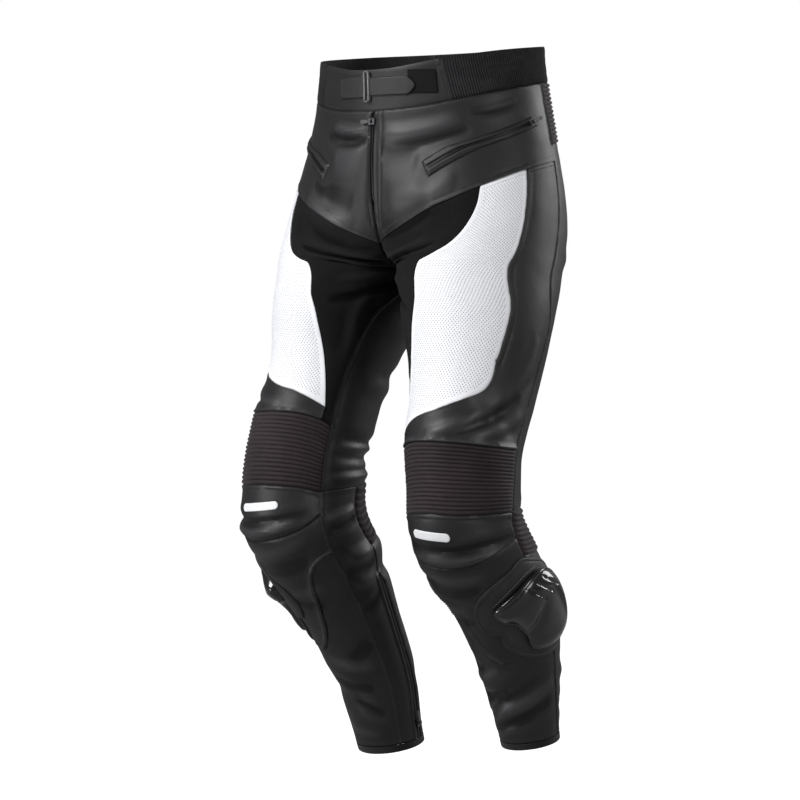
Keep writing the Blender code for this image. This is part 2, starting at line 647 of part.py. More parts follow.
def stretch_cloth():
    return material("stretch cloth", (0.012, 0.012, 0.013), 0.85)


def ribbed_stretch():
    return material("ribbed stretch", (0.030, 0.024, 0.025), 0.75)


def knit_elastic():
    return material("knit elastic", (0.016, 0.016, 0.017), 0.90)


def hard_plastic():
    return material("glossy hard plastic", (0.012, 0.012, 0.013), 0.16)


def matte_plastic():
    return material("matte plastic", (0.018, 0.018, 0.019), 0.55)


def dark_metal():
    return material("dark metal", (0.10, 0.10, 0.105), 0.35, 1.0)


def white_rubber():
    return material("white rubber", (0.80, 0.80, 0.80), 0.50)


def make_object(name, points, triangles, surface, origin=(0, 0, 0)):
    """A named closed mesh with its faces outwards, and its origin at the given point."""
    origin = Vector(origin)
    mesh = bpy.data.meshes.new(name)
    mesh.from_pydata([tuple(Vector(p) - origin) for p in points], [], [tuple(map(int, t)) for t in triangles])
    shell = bmesh.new()
    shell.from_mesh(mesh)
    bmesh.ops.remove_doubles(shell, verts=shell.verts, dist=1e-7)
    bmesh.ops.recalc_face_normals(shell, faces=shell.faces)
    if shell.calc_volume(signed=True) < 0:
        bmesh.ops.reverse_faces(shell, faces=shell.faces)
    shell.to_mesh(mesh)
    shell.free()
    mesh.materials.append(surface)
    mesh.shade_smooth()
    mesh.set_sharp_from_angle(angle=math.radians(40))
    thing = bpy.data.objects.new(name, mesh)
    thing.location = origin
    bpy.context.scene.collection.objects.link(thing)
    return thing


# ---------------------------------------------------------------- the plain panels and what lies on them
def build_panels(side, seams):
    places, triangles, middles = triangulate(side, seams)
    points, normals = sheet(side, places)
    surfaces = {"inner_thigh": stretch_cloth(), "thigh_inset": white_leather(), "calf_zip": matte_plastic()}
    for name, walk in PANELS.items():
        mine = triangles[inside(middles, flat(outline(seams, walk)))]
        outer, up, _, faces = compact(points, normals, places, mine)
        loop = boundary_of(faces)
        outer = drawn_in(outer, up, faces, loop, SEAM_GAP / 2)
        inner = outer - up * PANEL_WALL.get(name, LEATHER)
        make_object(f"{name}_{side}", *closed_wall(outer, inner, faces, loop), surfaces.get(name, black_leather()))
    build_patches(side, places, points, normals, triangles, middles)


def build_patches(side, places, points, normals, triangles, middles):
    """The pocket welt, knee tab, slider landing and puck, each made from the points of the panel below it."""
    rises = {"pocket_welt": POCKET_RISE, "knee_tab": TAB_RISE, "slider_landing": LANDING_RISE}
    surfaces = {"knee_tab": white_rubber(), "slider_puck": hard_plastic(), "pocket_welt": matte_plastic()}
    outlines = patch_outlines(side)
    for name, line in outlines.items():
        mine = triangles[inside(middles, flat(line))]
        base, up, where, faces = compact(points, normals, places, mine)
        loop = boundary_of(faces)
        if name == "slider_puck":
            floor = LAID_GAP + LANDING_RISE + LAID_GAP
            rim = distance_to(flat(where), flat(line))
            crown = np.clip(rim / PUCK_SLOPE, 0, 1)
            rise = PUCK_EDGE + PUCK_CROWN * np.sin(crown * np.pi / 2)
            base = drawn_in(base, up, faces, loop, PUCK_INSET)
        else:
            floor = LAID_GAP
            rise = np.full(len(base), rises[name])
        outer = base + up * (floor + rise)[:, None]
        inner = base + up * floor
        surface = surfaces.get(name, matte_plastic())
        make_object(f"{name}_{side}", *closed_wall(outer, inner, faces, loop), surface)


# ---------------------------------------------------------------- ribbed panels
def coons(top, bottom, near, far, rows):
    """Places of a four-sided panel: rows of places from top to bottom. Each side is a run of places."""
    grid = np.empty((len(rows), len(top), 2))
    ends = np.linspace(0, 1, len(near))
    s = (top[:, 0] - top[0, 0]) / (top[-1, 0] - top[0, 0])
    for j, t in enumerate(rows):
        start = np.array([np.interp(t, ends, near[:, k]) for k in range(2)])
        stop = np.array([np.interp(t, ends, far[:, k]) for k in range(2)])
        across = (1 - t) * top + t * bottom
        sides = (1 - s)[:, None] * start + s[:, None] * stop
        corners = (1 - s)[:, None] * ((1 - t) * top[0] + t * bottom[0]) + s[:, None] * (
            (1 - t) * top[-1] + t * bottom[-1]
        )
        grid[j] = across + sides - corners
    return grid


def ribbed_wall(finder, grid, ribs, height, wall):
    """A wall with ribs raised across it on the outer face, over a plain inner face with fewer rows.

    grid has one row of places for each valley and each ridge. finder gives points and normals of places.
    """
    rows, cols = grid.shape[:2]
    points, normals = finder(grid.reshape(-1, 2))
    points = points.reshape(rows, cols, 3)
    normals = normals.reshape(rows, cols, 3)
    for row in range(1, rows, 2):
        points[row, 1:-1] += normals[row, 1:-1] * height
        for edge in (0, -1):
            points[row, edge] = (points[row - 1, edge] + points[row + 1, edge]) / 2
    number = np.arange(rows * cols).reshape(rows, cols)
    cells = []
    for row in range(rows - 1):
        for c in range(cols - 1):
            a, b = number[row, c], number[row, c + 1]
            d, e = number[row + 1, c], number[row + 1, c + 1]
            cells += [(a, b, e), (a, e, d)]
    loop = list(number[0, :]) + list(number[1:, -1]) + list(number[-1, -2::-1]) + list(number[-2:0:-1, 0])
    flat_points = drawn_in(points.reshape(-1, 3), normals.reshape(-1, 3), cells, loop, SEAM_GAP / 2)
    kept = list(range(0, rows - 1, max(2, 2 * round(ribs / 8)))) + [rows - 1]
    inner = flat_points.reshape(rows, cols, 3)[kept] - normals[kept] * wall
    base = rows * cols
    inside_number = base + np.arange(len(kept) * cols).reshape(len(kept), cols)
    for row in range(len(kept) - 1):
        for c in range(cols - 1):
            a, b = inside_number[row, c], inside_number[row, c + 1]
            d, e = inside_number[row + 1, c], inside_number[row + 1, c + 1]
            cells += [(a, e, b), (a, d, e)]
    for edge in (0, -1):
        cells += strip_between(number[:, edge], inside_number[:, edge], range(rows), kept)
        chain = number[edge, :]
        cells += strip_between(chain, inside_number[edge, :], range(cols), range(cols))
    return np.vstack([flat_points, inner.reshape(-1, 3)]), cells


def rib_rows(ribs):
    return np.linspace(0, 1, 2 * ribs + 1)


def build_knee_accordion(side, seams):
    top = np.vstack([seams["knee_top_inner"], seams["knee_top"][1:]])
    grid = coons(top, seams["knee_bottom"], seams["inseam_front_knee"], seams["outseam_knee"], rib_rows(KNEE_RIBS))
    wall = ribbed_wall(lambda p: sheet(side, p), grid, KNEE_RIBS, KNEE_RIB_HEIGHT, STRETCH)
    make_object(f"knee_accordion_{side}", *wall, ribbed_stretch())


def build_back_knee(side, seams):
    near = np.vstack([seams["outseam_cup"], seams["outseam_back_knee"][1:]])
    grid = coons(seams["back_knee_top"], seams["back_knee_low"], near, seams["back_knee_side"], rib_rows(BACK_RIBS))
    wall = ribbed_wall(lambda p: sheet(side, p), grid, BACK_RIBS, BACK_RIB_HEIGHT, STRETCH)
    make_object(f"back_knee_{side}", *wall, ribbed_stretch())


def both_sides(places):
    """Points and normals of places whose u runs past the centre front (below 0) or back (above 1) to the other side."""
    u = places[:, 0]
    on_left = (u >= 0) & (u <= 1)
    points = np.empty((len(places), 3))
    normals = np.empty((len(places), 3))
    mirrored = np.stack([np.where(u > 1, 2 - u, -u), places[:, 1]], axis=1)
    for chosen, side, source in ((on_left, "left", places), (~on_left, "right", mirrored)):
        if chosen.any():
            points[chosen], normals[chosen] = sheet(side, source[chosen])
    return points, normals


def build_lumbar_accordion(seams):
    """Across the lower back from one hip to the other."""
    bottom = seams["left"]["seat_top"]
    bottom = np.vstack([bottom, np.stack([2 - bottom[-2::-1, 0], bottom[-2::-1, 1]], axis=1)])
    top = np.stack([bottom[:, 0], waist_seam(bottom[:, 0]) + SEAM_GAP], axis=1)
    top[0] = seams["left"]["side_rib"][0]
    top[-1] = (2 - top[0, 0], top[0, 1])
    near = seams["left"]["side_rib"]
    far = np.stack([2 - near[:, 0], near[:, 1]], axis=1)
    grid = coons(top, bottom, near, far, rib_rows(LUMBAR_RIBS))
    wall = ribbed_wall(both_sides, grid, LUMBAR_RIBS, LUMBAR_RIB_HEIGHT, STRETCH)
    make_object("lumbar_accordion", *wall, ribbed_stretch())


# ---------------------------------------------------------------- waistband
WAIST_TOP_POINTS = (
    (0, 0.018), (0.076, 0.016), (0.200, 0.006), (0.380, -0.006), (0.620, -0.016), (0.80, -0.020), (1, -0.022),
)


def waist_seam(u):
    """Drop of the waistband's lower edge at a signed u."""
    dense = curve_through(WAIST_SEAM_POINTS)
    return np.interp(np.where(u > 1, 2 - u, np.abs(u)), dense[:, 0], dense[:, 1])


def waist_top(u):
    dense = curve_through(WAIST_TOP_POINTS)
    return np.interp(np.where(u > 1, 2 - u, np.abs(u)), dense[:, 0], dense[:, 1])


def band_grid(columns, top, bottom, rows):
    """Places between two edges, each given as a drop for every column."""
    grid = np.empty((rows, len(columns), 2))
    for row, t in enumerate(np.linspace(0, 1, rows)):
        grid[row, :, 0] = columns
        grid[row, :, 1] = (1 - t) * top + t * bottom
    return grid


def plain_wall(finder, grid, wall, lift=0.0, gap=SEAM_GAP / 2):
    """A plain wall over a grid of places, lifted off the panel below by the given amount."""
    rows, cols = grid.shape[:2]
    points, normals = finder(grid.reshape(-1, 2))
    number = np.arange(rows * cols).reshape(rows, cols)
    cells = []
    for row in range(rows - 1):
        for c in range(cols - 1):
            a, b = number[row, c], number[row, c + 1]
            d, e = number[row + 1, c], number[row + 1, c + 1]
            cells += [(a, b, e), (a, e, d)]
    loop = list(number[0, :]) + list(number[1:, -1]) + list(number[-1, -2::-1]) + list(number[-2:0:-1, 0])
    points = drawn_in(points, normals, cells, loop, gap)
    outer = points + normals * (lift + wall if lift else 0)
    inner = points + normals * (lift if lift else -wall)
    return closed_wall(outer, inner, cells, loop)


def build_waistband():
    """Leather across the front, knit elastic round the sides and the back."""
    front = np.linspace(-ELASTIC_FROM, ELASTIC_FROM, FRONT_COLUMNS)
    grid = band_grid(front, waist_top(front), waist_seam(front) - SEAM_GAP, BAND_ROWS)
    make_object("waistband_front", *plain_wall(both_sides, grid, FRONT_BAND_WALL), black_leather())
    around = np.linspace(ELASTIC_FROM, 2 - ELASTIC_FROM, ELASTIC_COLUMNS)
    grid = band_grid(around, waist_top(around), waist_seam(around) - SEAM_GAP, BAND_ROWS)
    make_object("waistband_elastic", *plain_wall(both_sides, grid, KNIT), knit_elastic())


# ---------------------------------------------------------------- hem band
def build_hem(side, seams):
    """A bound edge round the leg's opening, of two rows of points outside and two inside."""
    around = np.vstack([seams[name][:-1] for name in ("hem_shin", "hem_calf", "hem_zip", "hem_inner")])
    rings = []
    for drop, depth in ((HEM - HEM_BAND, 0.0), (HEM, 0.0), (HEM, BINDING), (HEM - HEM_BAND, BINDING)):
        places = np.stack([around[:, 0], np.full(len(around), drop)], axis=1)
        points, normals = sheet(side, places)
        rings.append(points + normals * (HEM_STAND - depth))
    n = len(around)
    cells = []
    for ring in range(4):
        following = (ring + 1) % 4
        for i in range(n):
            j = (i + 1) % n
            a, b = ring * n + i, ring * n + j
            c, d = following * n + j, following * n + i
            cells += [(a, b, c), (a, c, d)]
    make_object(f"hem_band_{side}", np.vstack(rings), cells, stretch_cloth())


# ---------------------------------------------------------------- small hard pieces in a frame on the cloth
class Seat:
    """A frame on the cloth: its middle, and its directions ahead, aside and out."""

    def __init__(self, side, place, towards, lift=0.0):
        points, normals = sheet(side, [place, towards])
        self.out = Vector(normals[0]).normalized()
        ahead = Vector(points[1] - points[0])
        self.ahead = (ahead - ahead.dot(self.out) * self.out).normalized()
        self.aside = self.out.cross(self.ahead)
        self.middle = Vector(points[0]) + self.out * lift

    def at(self, ahead, aside, out):
        return self.middle + self.ahead * ahead + self.aside * aside + self.out * out


def prism(seat, profile, low, high):
    """A closed solid: a convex outline of (ahead, aside) points between two heights."""
    points = [seat.at(a, b, low) for a, b in profile] + [seat.at(a, b, high) for a, b in profile]
    n = len(profile)
    cells = [(0, i + 1, i) for i in range(1, n - 1)]
    cells += [(n, n + i, n + i + 1) for i in range(1, n - 1)]
    for i in range(n):
        j = (i + 1) % n
        cells += [(i, j, n + j), (i, n + j, n + i)]
    return points, cells


def joined(name, solids, surface, origin=(0, 0, 0)):
    """Overlapping closed solids joined into one body."""
    first = make_object(name, *solids[0], surface, origin)
    for points, cells in solids[1:]:
        other = make_object(name + "_cutter", points, cells, surface, origin)
        union = first.modifiers.new("join", "BOOLEAN")
        union.operation = "UNION"
        union.object = other
        union.solver = "EXACT"
        graph = bpy.context.evaluated_depsgraph_get()
        mesh = bpy.data.meshes.new_from_object(first.evaluated_get(graph))
        first.modifiers.clear()
        first.data = mesh
        bpy.data.objects.remove(other, do_unlink=True)
    first.data.shade_smooth()
    first.data.set_sharp_from_angle(angle=math.radians(40))
    return first


def box_profile(length, width, start=None):
    start = -length / 2 if start is None else start
    return [(start, -width / 2), (start + length, -width / 2), (start + length, width / 2), (start, width / 2)]


def build_zip_end(name, seat, pull_length):
    """A zip slider on its tape, and the pull tab that swings on it. The hinge runs along the seat's aside."""
    ear_middle = (TONGUE_WIDTH + EAR_THICK) / 2 + SEAM_GAP
    body = [prism(seat, box_profile(SLIDER_LENGTH, SLIDER_WIDTH), 0, SLIDER_HEIGHT)]
    for way in (-1, 1):
        ear = [(a, b + way * ear_middle) for a, b in box_profile(EAR_LENGTH, EAR_THICK)]
        body.append(prism(seat, ear, SLIDER_HEIGHT - EAR_SUNK, SLIDER_HEIGHT + EAR_HEIGHT))
    joined(f"{name}_slider", body, dark_metal())
    low = HINGE_HEIGHT - PULL_THICK / 2
    tongue = box_profile(TONGUE_LENGTH, TONGUE_WIDTH, -PULL_THICK / 2)
    half = [
        (PULL_NECK, TONGUE_WIDTH / 2), (PULL_SHOULDER, PULL_WIDTH / 2), (pull_length - PULL_CORNER, PULL_WIDTH / 2),
        (pull_length, PULL_WIDTH / 4),
    ]
    plate = [(a, -b) for a, b in half] + half[::-1]
    solids = [prism(seat, tongue, low, low + PULL_THICK), prism(seat, plate, low, low + PULL_THICK)]
    joined(f"{name}_pull", solids, dark_metal(), seat.at(0, 0, HINGE_HEIGHT))


# ---------------------------------------------------------------- fly
def build_fly():
    """A zip tape behind the slit, with its slider just under the waistband."""
    columns = np.linspace(-FLY_TAPE_HALF, FLY_TAPE_HALF, FLY_COLUMNS)
    grid = band_grid(columns, np.full(FLY_COLUMNS, FLY_TOP), np.full(FLY_COLUMNS, FLY_BOTTOM), FLY_ROWS)

    def behind(places):
        points, normals = both_sides(places)
        return points - normals * (LEATHER + 3 * SEAM_GAP), normals

    make_object("fly_zip", *plain_wall(behind, grid, STRETCH, gap=0.0), matte_plastic())
    seat = Seat("left", (0, FLY_SLIDER), (0, FLY_SLIDER + 0.02), LAID_GAP)
    # The pull points to the wearer's right.
    seat.ahead, seat.aside = -seat.aside, seat.ahead
    build_zip_end("fly", seat, FLY_PULL)


# ---------------------------------------------------------------- waist strap
def lying_on_band(start, end, top, bottom, wall, columns):
    """A strip that lies on the waistband, between two signed u and two drops."""
    across = np.linspace(start, end, columns)
    grid = band_grid(across, np.full(columns, top), np.full(columns, bottom), BAND_ROWS)
    return plain_wall(both_sides, grid, wall, LAID_GAP, 0.0)


def build_strap():
    """A stitched base, a loop through it and the tab that closes to the left over its hook-and-loop pad."""
    base = lying_on_band(BASE_FROM, BASE_TO, STRAP_TOP - BASE_ABOVE, STRAP_BOTTOM + BASE_BELOW, BASE_WALL, 8)
    make_object("strap_base", *base, black_leather())
    pad = lying_on_band(HOOK_FROM, HOOK_TO, HOOK_TOP, HOOK_BOTTOM, HOOK_WALL, 7)
    make_object("strap_hook_pad", *pad, stretch_cloth())
    across = np.linspace(TAB_STRAP_FROM, TAB_STRAP_TO, 12)
    taper = np.clip((across - TAB_POINT_FROM) / (TAB_STRAP_TO - TAB_POINT_FROM), 0, 1) * TAB_POINT_DEPTH
    grid = band_grid(across, STRAP_TOP + taper, STRAP_BOTTOM - taper, BAND_ROWS)
    tab = plain_wall(both_sides, grid, STRAP_WALL, LAID_GAP + HOOK_WALL + LAID_GAP, 0.0)
    make_object("strap_tab", *tab, black_leather())
    build_ring()


def build_ring():
    """A flat rectangular loop standing across the strap."""
    seat = Seat("right", RING_PLACE, (RING_PLACE[0], RING_PLACE[1] + 0.02), 3 * LAID_GAP)
    long, wide, high = RING_SIZE
    ring = make_object("strap_ring", *prism(seat, box_profile(long, wide), 0, high), matte_plastic())
    slot = prism(seat, box_profile(*RING_SLOT), -high, 2 * high)
    cutter = make_object("strap_ring_slot", *slot, matte_plastic())
    cutter.hide_render = True
    cutter.display_type = "WIRE"
    cut = ring.modifiers.new("slot", "BOOLEAN")
    cut.operation = "DIFFERENCE"
    cut.object = cutter
    cut.solver = "EXACT"


# ---------------------------------------------------------------- zips of the pockets and calves
def part_way(start, end, share):
    return tuple(a + (b - a) * share for a, b in zip(start, end, strict=True))


def build_pocket_zip_end(side):
    place = part_way(POCKET_FROM, POCKET_TO, POCKET_SLIDER)
    seat = Seat(side, place, POCKET_TO, LAID_GAP + POCKET_RISE + LAID_GAP)
    build_zip_end(f"pocket_{side}", seat, POCKET_PULL)


def build_calf_zip_end(side):
    seat = Seat(side, (ZIP_MIDDLE, CALF_SLIDER_DROP), (ZIP_MIDDLE, ZIP_TOP), LAID_GAP)
    build_zip_end(f"calf_{side}", seat, CALF_PULL)


# ---------------------------------------------------------------- the whole garment
def build():
    for thing in list(bpy.data.objects):
        bpy.data.objects.remove(thing, do_unlink=True)
    seams = {side: seam_places(side) for side in LEG_ROWS}
    for side in LEG_ROWS:
        build_panels(side, seams[side])
        build_knee_accordion(side, seams[side])
        build_back_knee(side, seams[side])
        build_hem(side, seams[side])
        build_pocket_zip_end(side)
        build_calf_zip_end(side)
    build_lumbar_accordion(seams)
    build_waistband()
    build_fly()
    build_strap()


build()
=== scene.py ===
"""Motorcycle trousers in black and white leather with stretch cloth, filled out as if worn.

Metres, +Z up, the front faces -Y and the wearer's left is +X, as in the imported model.
"""

import math

import bpy
import numpy as np
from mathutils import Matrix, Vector, noise
from mathutils.geometry import delaunay_2d_cdt


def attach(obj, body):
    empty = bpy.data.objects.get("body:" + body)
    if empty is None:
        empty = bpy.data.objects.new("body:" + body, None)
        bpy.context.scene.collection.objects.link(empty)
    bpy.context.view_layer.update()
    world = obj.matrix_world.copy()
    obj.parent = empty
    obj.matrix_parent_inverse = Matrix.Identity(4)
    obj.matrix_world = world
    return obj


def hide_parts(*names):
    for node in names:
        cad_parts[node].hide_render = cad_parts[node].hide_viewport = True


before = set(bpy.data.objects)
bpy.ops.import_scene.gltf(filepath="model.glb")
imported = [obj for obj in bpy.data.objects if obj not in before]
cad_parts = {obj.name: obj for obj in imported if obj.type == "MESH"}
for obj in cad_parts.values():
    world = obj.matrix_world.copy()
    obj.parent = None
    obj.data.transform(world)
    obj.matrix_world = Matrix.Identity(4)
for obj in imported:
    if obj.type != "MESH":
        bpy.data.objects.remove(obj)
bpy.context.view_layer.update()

# ---- camera, floor and light
# The photograph looks from the wearer's left front, almost level, from about 5 m away. A pale floor and four
# lamps stand in for the white studio round the garment.
VIEW_TURN = math.radians(40)
VIEW_RISE = math.radians(1)
VIEW_DISTANCE = 5.0
METRES_PER_PIXEL = 0.00138
WAIST_PIXEL = (432, 62)
SENSOR = 36.0

right = Vector((math.cos(VIEW_TURN), math.sin(VIEW_TURN), 0))
reach = math.cos(VIEW_RISE)
back = Vector((math.sin(VIEW_TURN) * reach, -math.cos(VIEW_TURN) * reach, math.sin(VIEW_RISE)))
up = back.cross(right)
aim = right * (400 - WAIST_PIXEL[0]) * METRES_PER_PIXEL - up * (400 - WAIST_PIXEL[1]) * METRES_PER_PIXEL
camera = bpy.data.objects.new("camera", bpy.data.cameras.new("camera"))
camera.data.sensor_width = SENSOR
camera.data.lens = VIEW_DISTANCE / METRES_PER_PIXEL / 800 * SENSOR
camera.location = aim + back * VIEW_DISTANCE
camera.rotation_euler = back.to_track_quat("Z", "Y").to_euler()
bpy.context.scene.collection.objects.link(camera)
bpy.context.scene.camera = camera
bpy.context.scene.view_settings.view_transform = "Standard"

sky = bpy.data.worlds.new("studio")
sky.use_nodes = True
bpy.context.scene.world = sky
sky_nodes = sky.node_tree.nodes
sky_links = sky.node_tree.links
backdrop_light = sky_nodes["Background"]
backdrop_light.inputs["Color"].default_value = (1, 1, 1, 1)
backdrop_light.inputs["Strength"].default_value = 0.20
seen_backdrop = sky_nodes.new("ShaderNodeBackground")
seen_backdrop.inputs["Color"].default_value = (1, 1, 1, 1)
seen_backdrop.inputs["Strength"].default_value = 1.0
ray = sky_nodes.new("ShaderNodeLightPath")
either = sky_nodes.new("ShaderNodeMixShader")
sky_links.new(ray.outputs["Is Camera Ray"], either.inputs["Fac"])
sky_links.new(backdrop_light.outputs[0], either.inputs[1])
sky_links.new(seen_backdrop.outputs[0], either.inputs[2])
sky_links.new(either.outputs[0], sky_nodes["World Output"].inputs["Surface"])

floor_mesh = bpy.data.meshes.new("floor")
floor_mesh.from_pydata([(-30, -30, -1.04), (30, -30, -1.04), (30, 30, -1.04), (-30, 30, -1.04)], [], [(0, 1, 2, 3)])
floor = bpy.data.objects.new("floor", floor_mesh)
bpy.context.scene.collection.objects.link(floor)
pale = bpy.data.materials.new("pale floor")
pale.use_nodes = True
pale_inputs = pale.node_tree.nodes["Principled BSDF"].inputs
pale_inputs["Base Color"].default_value = (0.30, 0.30, 0.30, 1)
pale_inputs["Roughness"].default_value = 0.9
pale_inputs["Emission Color"].default_value = (1, 1, 1, 1)
seen = pale.node_tree.nodes.new("ShaderNodeLightPath").outputs["Is Camera Ray"]
glow = pale.node_tree.nodes.new("ShaderNodeMath")
glow.operation = "MULTIPLY"
glow.inputs[1].default_value = 0.95
pale.node_tree.links.new(seen, glow.inputs[0])
pale.node_tree.links.new(glow.outputs[0], pale_inputs["Emission Strength"])
floor_mesh.materials.append(pale)

# name, place, width, height, watts
for lamp_name, place, wide, high, power in (
    ("key", (-1.1, -2.6, 1.5), 1.2, 1.2, 96),
    ("side", (2.9, -0.9, 0.3), 0.9, 2.2, 34),
    ("behind", (1.2, 2.6, 0.9), 1.6, 2.0, 60),
    ("low", (-1.3, -2.5, -0.75), 0.9, 0.7, 28),
):
    lamp = bpy.data.objects.new(lamp_name, bpy.data.lights.new(lamp_name, "AREA"))
    lamp.data.shape = "RECTANGLE"
    lamp.data.size = wide
    lamp.data.size_y = high
    lamp.data.energy = power
    lamp.location = place
    lamp.rotation_euler = (Vector(place) - Vector((0, 0, -0.5))).to_track_quat("Z", "Y").to_euler()
    bpy.context.scene.collection.objects.link(lamp)


# ---- the cut of the trousers
# Every panel comes from one pattern sheet for each leg, in leather or stretch cloth, cut along the seams below.
# A place on the sheet is (u, drop): u runs from the centre front round the outer side to the centre back, and
# drop down the side of the leg. The tables that follow hold the filled-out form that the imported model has.
HIP = 0.125
CROTCH = 0.285
HEM = 0.957
HEM_BAND = 0.009
CUT_ROUND = 1.6
SEAM_GAP = 0.0003
LAID_GAP = 0.0004
SHEET_WIDTH = 0.50
SEAM_STEP = 0.0036
FLY_HALF = 0.0042
ZIP_FRONT = 0.893
ZIP_BACK = 0.865
ZIP_TOP = 0.735
KNEE_RIBS = 17
BACK_RIBS = 9
LUMBAR_RIBS = 14


# ---- the filled-out form
# One row for each section across the body or the leg, looking down on it:
# drop: its place on the pattern; level: how far its centre lies below the waist; outer, inner: its reach from
# the middle plane; centre_y; front, back: its depth in front of and behind the centre; pitch: how far it tips
# up at the back, in degrees; twist: how far the inseam turns to the front, in degrees.
COLUMNS = ("drop", "level", "outer", "inner", "centre_y", "front", "back", "pitch", "twist")
PELVIS_ROWS = (
    (-0.040, -0.040, 0.169, 0.000, 0.000, 0.128, 0.125, 0, 0),
    (0.000, 0.000, 0.170, 0.000, 0.000, 0.129, 0.128, 0, 0),
    (0.060, 0.060, 0.180, 0.000, 0.000, 0.127, 0.132, 0, 0),
    (0.125, 0.125, 0.197, 0.000, -0.005, 0.124, 0.134, 0, 0),
    (0.200, 0.200, 0.209, 0.000, -0.016, 0.121, 0.137, 0, 0),
    (0.285, 0.285, 0.216, 0.000, -0.030, 0.118, 0.122, -4, 0),
)
LEG_ROWS = {
    "left": (
        (0.360, 0.368, 0.221, 0.022, -0.050, 0.106, 0.100, -10, 22),
        (0.430, 0.450, 0.215, 0.048, -0.072, 0.091, 0.090, -12, 29),
        (0.510, 0.541, 0.216, 0.063, -0.102, 0.083, 0.079, -10, 30),
        (0.600, 0.612, 0.215, 0.069, -0.102, 0.083, 0.075, 2, 30),
        (0.665, 0.668, 0.216, 0.065, -0.075, 0.084, 0.078, 14, 30),
        (0.720, 0.718, 0.208, 0.070, -0.032, 0.073, 0.075, 22, 30),
        (0.790, 0.783, 0.194, 0.069, 0.014, 0.062, 0.068, 22, 30),
        (0.870, 0.857, 0.177, 0.075, 0.043, 0.051, 0.055, 18, 30),
        (0.955, 0.935, 0.161, 0.081, 0.066, 0.041, 0.043, 12, 30),
        (0.990, 0.967, 0.160, 0.082, 0.075, 0.040, 0.042, 12, 30),
    ),
    "right": (
        (0.360, 0.355, 0.216, 0.020, -0.048, 0.106, 0.100, -10, 22),
        (0.430, 0.425, 0.211, 0.047, -0.064, 0.089, 0.088, -12, 29),
        (0.510, 0.505, 0.223, 0.059, -0.087, 0.088, 0.084, -10, 30),
        (0.600, 0.581, 0.227, 0.063, -0.101, 0.091, 0.083, 2, 30),
        (0.665, 0.638, 0.227, 0.060, -0.100, 0.092, 0.084, 14, 30),
        (0.720, 0.700, 0.215, 0.061, -0.061, 0.079, 0.080, 22, 30),
        (0.790, 0.775, 0.196, 0.066, -0.017, 0.062, 0.069, 22, 30),
        (0.870, 0.860, 0.180, 0.069, 0.026, 0.054, 0.060, 18, 30),
        (0.955, 0.955, 0.169, 0.077, 0.058, 0.047, 0.049, 12, 30),
        (0.990, 0.990, 0.168, 0.078, 0.073, 0.046, 0.048, 12, 30),
    ),
}

# The largest folds of the cloth, the same on both legs: each is a soft ridge from (u0, drop0) to (u1, drop1), or
# a trough where its height is negative, that fades out at both ends.
# Columns: u0, drop0, u1, drop1, half its width, its height.
FOLDS = (
    (0.08, 0.232, 0.26, 0.196, 0.014, -0.0035),
    (0.10, 0.282, 0.28, 0.250, 0.014, 0.0030),
    (0.10, 0.330, 0.02, 0.420, 0.014, -0.0030),
    (0.62, 0.300, 0.95, 0.330, 0.020, -0.0050),
    (0.60, 0.350, 0.94, 0.385, 0.018, 0.0040),
    (0.55, 0.540, 0.98, 0.560, 0.014, -0.0050),
    (0.50, 0.575, 0.98, 0.590, 0.012, 0.0040),
    (0.28, 0.440, 0.45, 0.485, 0.010, -0.0030),
    (0.04, 0.677, 0.36, 0.683, 0.009, -0.0035),
    (0.03, 0.696, 0.26, 0.706, 0.010, 0.0025),
    (0.55, 0.715, 0.98, 0.700, 0.011, 0.0040),
    (0.60, 0.740, 0.96, 0.728, 0.010, -0.0040),
    (0.05, 0.850, 0.30, 0.830, 0.014, 0.0035),
    (0.10, 0.885, 0.40, 0.862, 0.013, -0.0035),
    (0.02, 0.925, 0.24, 0.905, 0.011, 0.0030),
    (0.55, 0.860, 0.84, 0.880, 0.013, -0.0030),
)

